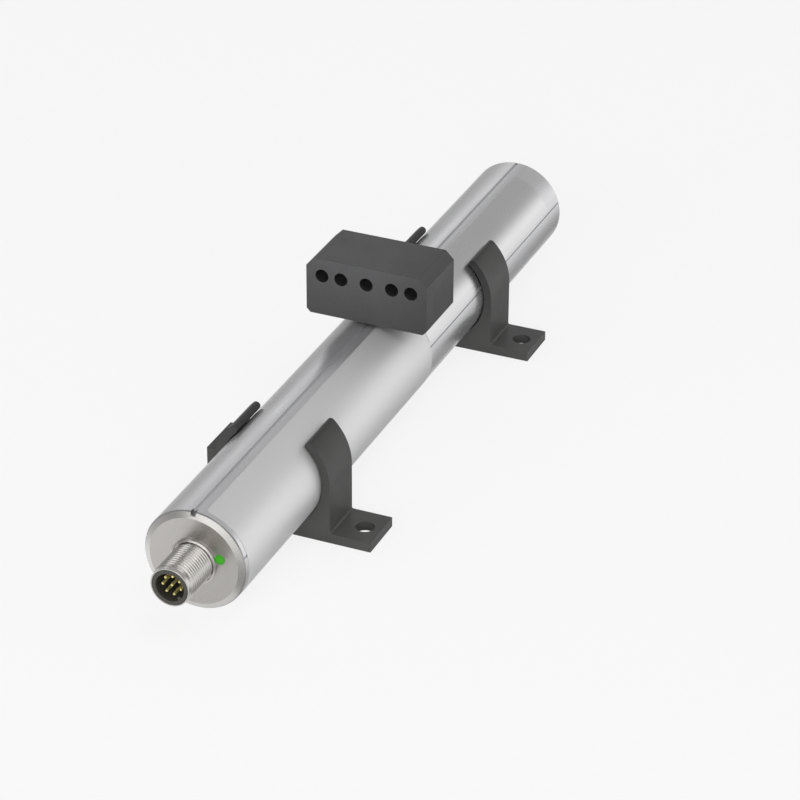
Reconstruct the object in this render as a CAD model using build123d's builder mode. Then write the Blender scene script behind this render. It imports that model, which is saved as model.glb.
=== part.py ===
"""Magnetostrictive linear position sensor: a round tube sensor in two saddle brackets, with its magnet block.

Frame: +Y runs along the tube from the connector to the far end, +X to the right as seen from the
connector, +Z up. X = 0 is the tube axis, Z = 0 is the mounting plane under the bracket feet, and Y = 0
is the middle of the overall length. Along the tube, places are given as t, the distance from the tube's
connector end. All sizes are in millimetres.
"""

import os
from math import cos, radians, sin, sqrt

from build123d import *

os.makedirs("parts", exist_ok=True)

# Clearances that several fits share
slip_fit = 0.05
bond_line = 0.02
wire_fit = 0.03
moving_gap = 0.3

# Housing tube
tube_r = 15.0
tube_wall = 1.6
tube_len = 232.0
top_groove_w = 0.8
top_groove_depth = 0.4
side_groove_w = 0.4
side_groove_depth = 0.25
side_groove_angle = 15.0
end_notch_w = 1.6
end_notch_reach = 1.2
end_notch_run = 1.2
tube_bore_r = tube_r - tube_wall

# Silver foil labels, wrapped round the right side
foil_thick = 0.1
label_top_angle = 79.0
front_label_low_angle = -40.0
rear_label_low_angle = 20.0
front_label_start = 1.8
label_split = 126.0
label_end_margin = 9.4
label_joint = 0.5

# End caps
cap_proud = 0.9
cap_flange_r = tube_r - 0.25
cap_rim = 0.15
cap_face_r = cap_flange_r - 1.7
cap_plug_len = 11.0
cap_groove_start = 4.0
cap_groove_w = 2.0
cap_groove_depth = 1.3
seal_play = 0.01
cap_plug_r = tube_bore_r - slip_fit

# Connector, with an M12 x 1 thread
plug_reach = 15.0
thread_r = 6.0
thread_pitch = 1.0
thread_depth = 0.55
thread_crest = 0.14
neck_len = 1.4
neck_r = 5.7
neck_chamfer = 0.2
thread_relief_len = 0.5
collar_r = 6.8
collar_len = 1.0
collar_lip = 0.6
collar_recess = 0.7
stud_r = 5.0
nut_len = 2.4
nut_r = 6.6
shell_wall = 0.8
insert_lip_r = 5.25
insert_lip_len = 1.2
insert_wall = 0.5
insert_tail_r = 3.9
insert_tail_len = 1.1
socket_depth = 9.0
key_w = 1.0
key_h = 0.7
key_angle = -46.5
pin_r = 0.4
pin_circle_r = 2.7
pin_ring_count = 7
pin_spacing = 49.5
pin_setback = 1.2
pin_solder_setback = 0.2
flange_seal_r = 0.4
flange_seal_circle_r = 5.85
thread_root_r = thread_r - thread_depth
shell_bore_r = thread_root_r - shell_wall
insert_body_r = shell_bore_r - wire_fit
socket_r = insert_body_r - insert_wall

# Status light
light_x = 7.8
light_z = 2.4
light_pipe_r = 1.3
light_pipe_proud = 0.15
led_height = 1.5
led_w = 2.2
led_air_gap = 0.3

# Boards and the parts on them
disc_r = 10.0
disc_thick = 1.2
board_thick = 1.6
board_len = 47.0
board_edge_margin = 1.0
header_len = 6.0
header_w = 13.0
header_h = 5.5
processor_size = 8.0
processor_h = 1.4
small_chip_w = 4.0
small_chip_len = 5.0
small_chip_h = 1.2
chip_pitch = 7.5
capacitor_r = 1.6
capacitor_h = 5.0
capacitor_pitch = 5.0
crystal_w = 3.2
crystal_len = 5.0
crystal_h = 1.2
spring_thick = 0.3
spring_w = 4.0

# Measuring element
rail_play = 0.1
rail_depth = 5.6
rail_channel_w = 10.0
rail_channel_h = 3.0
web_w = 5.0
wave_z = 2.0
waveguide_r = 0.3
sheath_r = 1.5
sheath_wall = 0.8
return_wire_r = 0.25
damper_r = 1.9
damper_len = 16.0
bulkhead_len = 4.0
pad_len = 3.0
pad_r = 10.0
pad_hole_r = 4.6
ferrule_r = 1.5
ferrule_len = 2.4
anchor_len = 3.0
anchor_w = 4.0
bobbin_flange = 1.0
bobbin_flange_r = 3.2
bobbin_core_r = 1.1
coil_len = 9.0
coil_r = 2.9
bias_magnet_h = 2.0
bias_magnet_w = 4.0
bias_magnet_len = 5.0
shield_sheet = 0.4
shield_w = 12.0
shield_head = 1.0

# Saddle brackets
bracket_w = 15.2
saddle_floor = 2.4
arm_wall = 2.4
arm_tip_angle = 46.0
heel_wall = 2.1
heel_rise = 4.4
foot_reach = 12.3
foot_thick = 3.0
foot_corner_r = 0.4
foot_fillet_r = 0.5
screw_offset = 7.3
screw_hole_r = 2.75
front_bracket_inset = 47.2
rear_bracket_inset = 50.6
bracket_bore_r = tube_r + moving_gap
arm_outer_r = bracket_bore_r + arm_wall
axis_height = saddle_floor + bracket_bore_r

# Magnet block
block_w = 38.0
block_h = 17.9
block_depth = 20.4
block_gap = 0.7
block_top_chamfer = 2.6
block_low_chamfer = 1.2
block_place = 122.3
block_hole_r = 2.05
block_hole_drop = 5.3
inner_hole_x = 8.0
outer_hole_x = 14.0
magnet_w = 12.0
magnet_len = 14.0
magnet_h = 6.0
magnet_pitch = 14.0
magnet_play = 0.1
cover_thick = 1.4

# Places along the tube that follow from the sizes above
overall_len = plug_reach + tube_len + cap_proud
tube_front_y = plug_reach - overall_len / 2
disc_start = cap_plug_len + nut_len + insert_tail_len
rail_start = disc_start + disc_thick
rear_plug_start = tube_len - cap_plug_len
bulkhead_start = rear_plug_start - pad_len - bulkhead_len
board_start = rail_start + moving_gap
board_end = board_start + board_len
web_start = board_end + moving_gap
damper_start = bulkhead_start - damper_len
board_top = board_thick - rail_depth
coil_end = board_end - bobbin_flange - 2 * moving_gap
coil_start = coil_end - coil_len
anchor_start = coil_start - bobbin_flange - anchor_len - 2 * moving_gap
rail_r = tube_bore_r - rail_play


def y_at(t):
    """The Y of a place along the tube."""
    return tube_front_y + t


def across(t):
    """A plane across the tube axis at t: local x is +X, local y is +Z, extruding goes to the connector."""
    return Plane(origin=(0, y_at(t), axis_height), x_dir=(1, 0, 0), z_dir=(0, -1, 0))


def lengthwise(angle=90.0):
    """A half plane through the tube axis at an angle from +X: local x is t, local y is the radius."""
    tilt = radians(angle)
    return Plane(
        origin=(0, tube_front_y, axis_height),
        x_dir=(0, 1, 0),
        z_dir=(sin(tilt), 0, -cos(tilt)),
    )


def deck(height):
    """A level plane at a height over the tube axis: local x is +X, local y is t."""
    return Plane(origin=(0, tube_front_y, axis_height + height), x_dir=(1, 0, 0), z_dir=(0, 0, 1))


tube_axis = Axis((0, 0, axis_height), (0, -1, 0))


def pin_ring():
    """The places of the ring of pins, spread so that the widest gap faces the key."""
    half_spread = pin_spacing * (pin_ring_count - 1) / 2
    return PolarLocations(
        pin_circle_r,
        pin_ring_count,
        start_angle=key_angle + 180 - half_spread,
        angular_range=2 * half_spread,
        endpoint=True,
    )


def write(part, name):
    """Label a finished piece and write it."""
    part.label = name
    export_step(part, f"parts/{name}.step")


# Housing tube, with its grooves and the notch that lines up the front cap
with BuildPart() as housing_tube:
    with BuildSketch(across(tube_len)):
        Circle(tube_r)
        Circle(tube_bore_r, mode=Mode.SUBTRACT)
        with PolarLocations(tube_r, 1, start_angle=90):
            Rectangle(2 * top_groove_depth, top_groove_w, mode=Mode.SUBTRACT)
        for groove_angle in (side_groove_angle, 180 - side_groove_angle):
            with PolarLocations(tube_r, 1, start_angle=groove_angle):
                Rectangle(2 * side_groove_depth, side_groove_w, mode=Mode.SUBTRACT)
    extrude(amount=tube_len)
    with BuildSketch(deck(tube_r)):
        SlotOverall(2 * end_notch_run, end_notch_w, rotation=90)
    extrude(amount=-end_notch_reach, mode=Mode.SUBTRACT)
write(housing_tube.part, "housing_tube")

# Foil labels, each a thin shell bonded to the tube
rear_label_end = tube_len - label_end_margin
label_places = {
    "front_label": (front_label_start, label_split, front_label_low_angle),
    "rear_label": (label_split + label_joint, rear_label_end, rear_label_low_angle),
}
for label_name, (label_start, label_end, low_angle) in label_places.items():
    with BuildPart() as foil_label:
        with BuildSketch(lengthwise(low_angle)):
            with Locations((label_start, tube_r + bond_line)):
                Rectangle(label_end - label_start, foil_thick, align=(Align.MIN, Align.MIN))
        revolve(axis=tube_axis, revolution_arc=label_top_angle - low_angle)
    write(foil_label.part, label_name)

# Front end cap: bevelled flange on the tube end, plug with a seal groove, holes for the connector and light
with BuildPart() as front_end_cap:
    with BuildSketch(lengthwise()):
        with BuildLine():
            Polyline(
                (-cap_proud, 0),
                (-cap_proud, cap_face_r),
                (-cap_rim, cap_flange_r),
                (0, cap_flange_r),
                (0, cap_plug_r),
                (cap_groove_start, cap_plug_r),
                (cap_groove_start, cap_plug_r - cap_groove_depth),
                (cap_groove_start + cap_groove_w, cap_plug_r - cap_groove_depth),
                (cap_groove_start + cap_groove_w, cap_plug_r),
                (cap_plug_len, cap_plug_r),
                (cap_plug_len, 0),
                close=True,
            )
        make_face()
    revolve(axis=tube_axis)
    with BuildSketch(across(cap_plug_len)):
        Circle(stud_r + slip_fit)
        with Locations((light_x, light_z)):
            Circle(light_pipe_r + wire_fit)
    extrude(amount=cap_plug_len + cap_proud, mode=Mode.SUBTRACT)
    with BuildSketch(across(2 * flange_seal_r - cap_proud)):
        Circle(flange_seal_circle_r + flange_seal_r + seal_play)
        Circle(flange_seal_circle_r - flange_seal_r - seal_play, mode=Mode.SUBTRACT)
    extrude(amount=2 * flange_seal_r, mode=Mode.SUBTRACT)
    with BuildSketch(across(0)):
        with Locations((0, tube_r)):
            SlotOverall(2 * end_notch_reach, end_notch_w, rotation=90)
    extrude(amount=cap_proud, mode=Mode.SUBTRACT)
write(front_end_cap.part, "front_end_cap")

# Rear end cap: the same flange and plug, turned round and with no holes
with BuildPart() as rear_end_cap:
    with BuildSketch(lengthwise()):
        with BuildLine():
            Polyline(
                (tube_len + cap_proud, 0),
                (tube_len + cap_proud, cap_face_r),
                (tube_len + cap_rim, cap_flange_r),
                (tube_len, cap_flange_r),
                (tube_len, cap_plug_r),
                (tube_len - cap_groove_start, cap_plug_r),
                (tube_len - cap_groove_start, cap_plug_r - cap_groove_depth),
                (tube_len - cap_groove_start - cap_groove_w, cap_plug_r - cap_groove_depth),
                (tube_len - cap_groove_start - cap_groove_w, cap_plug_r),
                (rear_plug_start, cap_plug_r),
                (rear_plug_start, 0),
                close=True,
            )
        make_face()
    revolve(axis=tube_axis)
write(rear_end_cap.part, "rear_end_cap")

# Rubber rings in the cap grooves
cap_seal_r = (tube_bore_r - cap_plug_r + cap_groove_depth) / 2 - seal_play
cap_seal_circle_r = tube_bore_r - cap_seal_r - seal_play
cap_seal_inset = cap_groove_start + cap_groove_w / 2
for seal_name, seal_place in (
    ("front_cap_seal", cap_seal_inset),
    ("rear_cap_seal", tube_len - cap_seal_inset),
):
    with BuildPart() as cap_seal:
        with BuildSketch(lengthwise()):
            with Locations((seal_place, cap_seal_circle_r)):
                Circle(cap_seal_r)
        revolve(axis=tube_axis)
    write(cap_seal.part, seal_name)

# Connector shell: neck, threaded barrel, collar on the cap face, and a stud through the cap
tip = -plug_reach
collar_front = -cap_proud - collar_len
thread_start = tip + neck_len
thread_zone = collar_front - thread_relief_len - thread_start
thread_turns = int(thread_zone / thread_pitch)
thread_points = [(thread_start, thread_root_r)]
for turn in range(thread_turns):
    crest_front = thread_start + thread_pitch * (turn + 0.5) - thread_crest / 2
    thread_points += [
        (crest_front, thread_r),
        (crest_front + thread_crest, thread_r),
        (thread_start + thread_pitch * (turn + 1), thread_root_r),
    ]
with BuildPart() as connector_shell:
    with BuildSketch(lengthwise()):
        with BuildLine():
            Polyline(
                (tip, insert_lip_r + wire_fit),
                (tip, neck_r - neck_chamfer),
                (tip + neck_chamfer, neck_r),
                (thread_start, neck_r),
                *thread_points,
                (collar_front + collar_recess, thread_root_r),
                (collar_front + collar_recess, collar_r - collar_lip),
                (collar_front, collar_r - collar_lip),
                (collar_front, collar_r),
                (-cap_proud, collar_r),
                (-cap_proud, stud_r),
                (cap_plug_len + nut_len, stud_r),
                (cap_plug_len + nut_len, insert_tail_r + wire_fit),
                (collar_front, insert_tail_r + wire_fit),
                (collar_front, shell_bore_r),
                (tip + insert_lip_len, shell_bore_r),
                (tip + insert_lip_len, insert_lip_r + wire_fit),
                close=True,
            )
        make_face()
    revolve(axis=tube_axis)
write(connector_shell.part, "connector_shell")

# Lock nut behind the cap
with BuildPart() as connector_nut:
    with BuildSketch(across(cap_plug_len + nut_len)):
        Circle(nut_r)
        Circle(stud_r + wire_fit, mode=Mode.SUBTRACT)
    extrude(amount=nut_len)
write(connector_nut.part, "connector_nut")

# Seal ring under the collar
with BuildPart() as connector_seal:
    with BuildSketch(lengthwise()):
        with Locations((flange_seal_r - cap_proud, flange_seal_circle_r)):
            Circle(flange_seal_r - seal_play)
    revolve(axis=tube_axis)
write(connector_seal.part, "connector_seal")

# Connector insert: lip at the mouth, socket with a coding key, and a tail that carries the pins
with BuildPart() as connector_insert:
    with BuildSketch(across(tip + insert_lip_len)):
        Circle(insert_lip_r)
    extrude(amount=insert_lip_len)
    with BuildSketch(across(collar_front - wire_fit)):
        Circle(insert_body_r)
    extrude(amount=collar_front - wire_fit - tip - insert_lip_len)
    with BuildSketch(across(disc_start)):
        Circle(insert_tail_r)
    extrude(amount=disc_start - collar_front + wire_fit)
    with BuildSketch(across(tip + socket_depth)):
        Circle(socket_r)
        with PolarLocations(socket_r, 1, start_angle=key_angle):
            Rectangle(2 * key_h, key_w, mode=Mode.SUBTRACT)
    extrude(amount=socket_depth, mode=Mode.SUBTRACT)
    with BuildSketch(across(disc_start)):
        Circle(pin_r + wire_fit)
        with pin_ring():
            Circle(pin_r + wire_fit)
    extrude(amount=disc_start - tip - socket_depth, mode=Mode.SUBTRACT)
write(connector_insert.part, "connector_insert")

# Contact pins: one in the middle and a ring round it, with rounded tips
pin_end = rail_start - pin_solder_setback
with BuildPart() as contact_pins:
    with BuildSketch(across(pin_end)):
        Circle(pin_r)
        with pin_ring():
            Circle(pin_r)
    extrude(amount=pin_end - tip - pin_setback)
    chamfer(contact_pins.faces().group_by(Axis.Y)[0].edges(), pin_r / 2)
write(contact_pins.part, "contact_pins")

# Light pipe in the cap, and the lamp behind it
led_front = disc_start - led_height
with BuildPart() as light_pipe:
    with BuildSketch(across(led_front - led_air_gap)):
        with Locations((light_x, light_z)):
            Circle(light_pipe_r)
    extrude(amount=led_front - led_air_gap + cap_proud + light_pipe_proud)
    fillet(light_pipe.faces().sort_by(Axis.Y)[0].edges(), light_pipe_proud)
write(light_pipe.part, "light_pipe")

with BuildPart() as status_led:
    with BuildSketch(across(disc_start)):
        with Locations((light_x, light_z)):
            RectangleRounded(led_w, led_w, led_w / 8)
    extrude(amount=led_height)
write(status_led.part, "status_led")

# Round board that the connector pins are soldered in
with BuildPart() as connector_board:
    with BuildSketch(across(rail_start)):
        Circle(disc_r)
        Circle(pin_r + wire_fit, mode=Mode.SUBTRACT)
        with pin_ring():
            Circle(pin_r + wire_fit, mode=Mode.SUBTRACT)
    extrude(amount=disc_thick)
write(connector_board.part, "connector_board")

# Carrier rail: a half-round base in the bottom of the tube, with a web that cradles the waveguide
with BuildPart() as sensor_carrier:
    with BuildSketch(across(bulkhead_start)):
        Circle(rail_r)
        with Locations((0, -rail_depth)):
            Rectangle(3 * rail_r, 3 * rail_r, align=(Align.CENTER, Align.MIN), mode=Mode.SUBTRACT)
        with Locations((0, -rail_r)):
            Rectangle(rail_channel_w, 2 * rail_channel_h, mode=Mode.SUBTRACT)
    extrude(amount=bulkhead_start - rail_start)
    with BuildSketch(across(bulkhead_start)):
        with Locations((0, -rail_depth)):
            Rectangle(web_w, rail_depth + wave_z, align=(Align.CENTER, Align.MIN))
    extrude(amount=bulkhead_start - web_start)
    with BuildSketch(across(damper_start)):
        with Locations((0, wave_z)):
            Circle(sheath_r + slip_fit)
    extrude(amount=damper_start - web_start, mode=Mode.SUBTRACT)
    with BuildSketch(across(bulkhead_start)):
        with Locations((0, wave_z)):
            Circle(damper_r + slip_fit)
    extrude(amount=damper_len, mode=Mode.SUBTRACT)
    with BuildSketch(across(bulkhead_start)):
        with Locations((0, board_top + return_wire_r + wire_fit)):
            Circle(return_wire_r + wire_fit)
    extrude(amount=bulkhead_start - web_start, mode=Mode.SUBTRACT)
write(sensor_carrier.part, "sensor_carrier")

# Main board on the flat of the rail
board_half_w = sqrt(rail_r**2 - rail_depth**2) - board_edge_margin
with BuildPart() as electronics_board:
    with BuildSketch(deck(-rail_depth)):
        with Locations((0, board_start)):
            Rectangle(2 * board_half_w, board_len, align=(Align.CENTER, Align.MIN))
    extrude(amount=board_thick)
write(electronics_board.part, "electronics_board")

# Header that joins the round board to the main board
with BuildPart() as board_header:
    with BuildSketch(deck(board_top)):
        with Locations((0, board_start)):
            Rectangle(header_w, header_len, align=(Align.CENTER, Align.MIN))
    extrude(amount=header_h)
    fillet(board_header.edges().filter_by(Axis.Y), header_h / 10)
write(board_header.part, "board_header")

# Chips: the processor in the middle and four small ones round it
chip_centre = board_start + header_len + 2 * moving_gap + chip_pitch / 2 + small_chip_len
with BuildPart() as signal_chips:
    with BuildSketch(deck(board_top)):
        with Locations((0, chip_centre)):
            Rectangle(processor_size, processor_size)
    extrude(amount=processor_h)
    with BuildSketch(deck(board_top)):
        with Locations((0, chip_centre)):
            with GridLocations(2 * chip_pitch, chip_pitch, 2, 2):
                Rectangle(small_chip_w, small_chip_len)
    extrude(amount=small_chip_h)
write(signal_chips.part, "signal_chips")

# Capacitors in a row behind the chips, and the clock crystal behind them
capacitor_row = chip_centre + chip_pitch / 2 + small_chip_len / 2 + 2 * capacitor_r
with BuildPart() as board_capacitors:
    with BuildSketch(deck(board_top)):
        with Locations((0, capacitor_row)):
            with GridLocations(capacitor_pitch, 0, 3, 1):
                Circle(capacitor_r)
    extrude(amount=capacitor_h)
write(board_capacitors.part, "board_capacitors")

with BuildPart() as clock_crystal:
    with BuildSketch(deck(board_top)):
        with Locations((capacitor_pitch + crystal_w, capacitor_row + capacitor_r + crystal_len)):
            RectangleRounded(crystal_w, crystal_len, crystal_w / 4)
    extrude(amount=crystal_h)
write(clock_crystal.part, "clock_crystal")

# Ground spring: a strip from the board's left edge up to the tube wall
spring_reach = tube_bore_r - spring_thick
with BuildPart() as ground_spring:
    with BuildSketch(across(anchor_start)):
        with BuildLine():
            FilletPolyline(
                (-board_half_w * 0.55, board_top + spring_thick / 2),
                (-board_half_w * 0.85, board_top + spring_thick / 2),
                (-spring_reach * cos(radians(10)), -spring_reach * sin(radians(10))),
                (-spring_reach * cos(radians(12)), spring_reach * sin(radians(12))),
                (-spring_reach * 0.85, spring_reach * 0.4),
                radius=spring_thick,
            )
        trace(line_width=spring_thick)
    extrude(amount=spring_w)
write(ground_spring.part, "ground_spring")

# Waveguide wire from its anchor, through the pickup and the rail, to its end clamp
ferrule_end = bulkhead_start + bulkhead_len + ferrule_len
with BuildPart() as waveguide:
    with BuildSketch(across(ferrule_end)):
        with Locations((0, wave_z)):
            Circle(waveguide_r)
    extrude(amount=ferrule_end - anchor_start)
write(waveguide.part, "waveguide")

# Sheath round the waveguide along the measuring range
with BuildPart() as waveguide_sheath:
    with BuildSketch(across(damper_start)):
        with Locations((0, wave_z)):
            Circle(sheath_r)
            Circle(sheath_r - sheath_wall, mode=Mode.SUBTRACT)
    extrude(amount=damper_start - web_start)
write(waveguide_sheath.part, "waveguide_sheath")

# Silicone damper that swallows the pulse at the far end
with BuildPart() as end_damper:
    with BuildSketch(across(bulkhead_start)):
        with Locations((0, wave_z)):
            Circle(damper_r)
            Circle(waveguide_r + wire_fit, mode=Mode.SUBTRACT)
    extrude(amount=damper_len)
write(end_damper.part, "end_damper")

# Return wire beside the waveguide, turned up to the end clamp
return_z = board_top + return_wire_r + wire_fit
return_end = bulkhead_start + bulkhead_len + ferrule_len / 2
return_top = wave_z - ferrule_r - wire_fit
with BuildPart() as return_wire:
    with BuildLine() as return_path:
        FilletPolyline(
            (0, y_at(board_end - 2 * return_wire_r), axis_height + return_z),
            (0, y_at(return_end), axis_height + return_z),
            (0, y_at(return_end), axis_height + return_top),
            radius=4 * return_wire_r,
        )
    with BuildSketch(across(board_end - 2 * return_wire_r)):
        with Locations((0, return_z)):
            Circle(return_wire_r)
    sweep(path=return_path.line)
write(return_wire.part, "return_wire")

# Anchor block that clamps the front end of the waveguide on the board
anchor_h = wave_z + 2 * waveguide_r + 1 - board_top
with BuildPart() as waveguide_anchor:
    with BuildSketch(across(anchor_start + anchor_len)):
        with Locations((0, board_top)):
            Rectangle(anchor_w, anchor_h, align=(Align.CENTER, Align.MIN))
        with Locations((0, wave_z)):
            Circle(waveguide_r + wire_fit, mode=Mode.SUBTRACT)
    extrude(amount=anchor_len)
write(waveguide_anchor.part, "waveguide_anchor")

# Pickup bobbin: two flanges that stand on the board, joined by a hollow core
with BuildPart() as pickup_bobbin:
    for flange_end in (coil_start, coil_end + bobbin_flange):
        with BuildSketch(across(flange_end)):
            with Locations((0, wave_z)):
                Circle(bobbin_flange_r)
            with Locations((0, board_top)):
                Rectangle(2 * bobbin_flange_r, wave_z - board_top, align=(Align.CENTER, Align.MIN))
        extrude(amount=bobbin_flange)
    with BuildSketch(across(coil_end)):
        with Locations((0, wave_z)):
            Circle(bobbin_core_r)
    extrude(amount=coil_len)
    with BuildSketch(across(coil_end + bobbin_flange)):
        with Locations((0, wave_z)):
            Circle(waveguide_r + wire_fit)
    extrude(amount=coil_len + 2 * bobbin_flange, mode=Mode.SUBTRACT)
write(pickup_bobbin.part, "pickup_bobbin")

# Pickup coil on the bobbin
with BuildPart() as pickup_coil:
    with BuildSketch(across(coil_end - wire_fit)):
        with Locations((0, wave_z)):
            Circle(coil_r)
            Circle(bobbin_core_r + wire_fit, mode=Mode.SUBTRACT)
    extrude(amount=coil_len - 2 * wire_fit)
write(pickup_coil.part, "pickup_coil")

# Bias magnet on the board under the coil
with BuildPart() as bias_magnet:
    with BuildSketch(deck(board_top)):
        with Locations((0, (coil_start + coil_end) / 2)):
            Rectangle(bias_magnet_w, bias_magnet_len)
    extrude(amount=bias_magnet_h)
write(bias_magnet.part, "bias_magnet")

# Shield: a bent sheet over the pickup
shield_h = wave_z + bobbin_flange_r + shield_head - board_top
with BuildPart() as pickup_shield:
    with BuildSketch(across(coil_end + bobbin_flange)):
        with Locations((0, board_top)):
            Rectangle(shield_w, shield_h, align=(Align.CENTER, Align.MIN))
            Rectangle(
                shield_w - 2 * shield_sheet,
                shield_h - shield_sheet,
                align=(Align.CENTER, Align.MIN),
                mode=Mode.SUBTRACT,
            )
    extrude(amount=coil_len + 2 * bobbin_flange)
write(pickup_shield.part, "pickup_shield")

# Bulkhead that closes the rail, with holes for the two wires
with BuildPart() as rear_bulkhead:
    with BuildSketch(across(bulkhead_start + bulkhead_len)):
        Circle(rail_r)
        with Locations((0, wave_z)):
            Circle(waveguide_r + wire_fit, mode=Mode.SUBTRACT)
        with Locations((0, return_z)):
            Circle(return_wire_r + wire_fit, mode=Mode.SUBTRACT)
    extrude(amount=bulkhead_len)
write(rear_bulkhead.part, "rear_bulkhead")

# Clamp ferrule on the waveguide's far end
with BuildPart() as waveguide_ferrule:
    with BuildSketch(across(ferrule_end)):
        with Locations((0, wave_z)):
            Circle(ferrule_r)
            Circle(waveguide_r + wire_fit, mode=Mode.SUBTRACT)
    extrude(amount=ferrule_len)
write(waveguide_ferrule.part, "waveguide_ferrule")

# Foam pad between the bulkhead and the rear cap
with BuildPart() as end_pad:
    with BuildSketch(across(rear_plug_start)):
        Circle(pad_r)
        Circle(pad_hole_r, mode=Mode.SUBTRACT)
    extrude(amount=pad_len)
write(end_pad.part, "end_pad")

# Saddle brackets: open-topped arms round the tube, a thicker heel on the left arm, and two feet
tip_r = arm_wall / 2
tip_circle_r = bracket_bore_r + tip_r
tip_x = cos(radians(arm_tip_angle))
tip_z = sin(radians(arm_tip_angle))
half_foot = arm_outer_r + foot_reach
screw_x = arm_outer_r + screw_offset
bracket_places = {
    "front_bracket": front_bracket_inset,
    "rear_bracket": tube_len - rear_bracket_inset - bracket_w,
}
for bracket_name, bracket_start in bracket_places.items():
    with BuildPart() as saddle_bracket:
        with BuildSketch(across(bracket_start + bracket_w)):
            Circle(arm_outer_r)
            Rectangle(2 * arm_outer_r, axis_height, align=(Align.CENTER, Align.MAX))
            with Locations((-arm_outer_r - heel_wall, -axis_height)):
                Rectangle(
                    heel_wall + arm_outer_r * (1 - tip_x),
                    axis_height + heel_rise,
                    align=(Align.MIN, Align.MIN),
                )
            with Locations((0, -axis_height)):
                Rectangle(2 * half_foot, foot_thick, align=(Align.CENTER, Align.MIN))
            with BuildLine():
                Polyline(
                    (0, 0),
                    (2 * arm_outer_r * tip_x, 2 * arm_outer_r * tip_z),
                    (-2 * arm_outer_r * tip_x, 2 * arm_outer_r * tip_z),
                    close=True,
                )
            make_face(mode=Mode.SUBTRACT)
            with Locations((tip_circle_r * tip_x, tip_circle_r * tip_z)):
                Circle(tip_r)
            with Locations((-tip_circle_r * tip_x, tip_circle_r * tip_z)):
                Circle(tip_r)
            Circle(bracket_bore_r, mode=Mode.SUBTRACT)
        extrude(amount=bracket_w)
        inner_corners = [
            edge
            for edge in saddle_bracket.edges().filter_by(Axis.Y)
            if abs(edge.center().Z - foot_thick) < foot_fillet_r and abs(edge.center().X) < half_foot
        ]
        fillet(inner_corners, foot_fillet_r)
        foot_ends = [
            edge for edge in saddle_bracket.edges().filter_by(Axis.Z) if abs(edge.center().X) > screw_x
        ]
        fillet(foot_ends, foot_corner_r)
        with BuildSketch(Plane.XY):
            with Locations((0, y_at(bracket_start + bracket_w / 2))):
                with GridLocations(2 * screw_x, 0, 2, 1):
                    Circle(screw_hole_r)
        extrude(amount=foot_thick, mode=Mode.SUBTRACT)
    write(saddle_bracket.part, bracket_name)

# Magnet block: chamfered along its length, five through holes, and a pocket from below for the magnets
block_bottom = tube_r + block_gap
block_top = block_bottom + block_h
block_end = block_place + block_depth / 2
pocket_w = magnet_pitch + magnet_w + 2 * magnet_play
pocket_len = magnet_len + 2 * magnet_play
pocket_h = cover_thick + magnet_h + magnet_play
with BuildPart() as magnet_housing:
    with BuildSketch(across(block_end)):
        with BuildLine():
            Polyline(
                (-block_w / 2 + block_top_chamfer, block_top),
                (block_w / 2 - block_top_chamfer, block_top),
                (block_w / 2, block_top - block_top_chamfer),
                (block_w / 2, block_bottom + block_low_chamfer),
                (block_w / 2 - block_low_chamfer, block_bottom),
                (-block_w / 2 + block_low_chamfer, block_bottom),
                (-block_w / 2, block_bottom + block_low_chamfer),
                (-block_w / 2, block_top - block_top_chamfer),
                close=True,
            )
        make_face()
        with Locations((0, block_top - block_hole_drop)):
            Circle(block_hole_r, mode=Mode.SUBTRACT)
            with GridLocations(2 * inner_hole_x, 0, 2, 1):
                Circle(block_hole_r, mode=Mode.SUBTRACT)
            with GridLocations(2 * outer_hole_x, 0, 2, 1):
                Circle(block_hole_r, mode=Mode.SUBTRACT)
    extrude(amount=block_depth)
    with BuildSketch(deck(block_bottom)):
        with Locations((0, block_place)):
            Rectangle(pocket_w, pocket_len)
    extrude(amount=pocket_h, mode=Mode.SUBTRACT)
write(magnet_housing.part, "magnet_housing")

# Two magnets side by side over the tube
with BuildPart() as position_magnets:
    with BuildSketch(deck(block_bottom + cover_thick)):
        with Locations((0, block_place)):
            with GridLocations(magnet_pitch, 0, 2, 1):
                Rectangle(magnet_w, magnet_len)
    extrude(amount=magnet_h)
write(position_magnets.part, "position_magnets")

# Cover plate that closes the pocket flush with the block's underside
with BuildPart() as magnet_cover:
    with BuildSketch(deck(block_bottom)):
        with Locations((0, block_place)):
            Rectangle(pocket_w - 2 * wire_fit, pocket_len - 2 * wire_fit)
    extrude(amount=cover_thick)
write(magnet_cover.part, "magnet_cover")
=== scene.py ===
# %% [markdown]
# # A linear position sensor in its two saddles
#
# The real object is a round aluminium tube. A wire in it carries a short twist that starts under a magnet,
# and the time that the twist needs to reach the pickup says where the magnet is. The magnet sits in a dark
# block that glides over the tube, two plastic saddles hold the tube, and a round connector closes its
# near end.
#
# The solids are given, as a frame that nothing here may move. This notebook dresses them: it rebuilds each
# visible piece as a finer mesh in the same place, and gives every piece the finish that it has in the hand.

# %% Load the frame
from math import asin, cos, pi, radians, sin, tan

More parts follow.
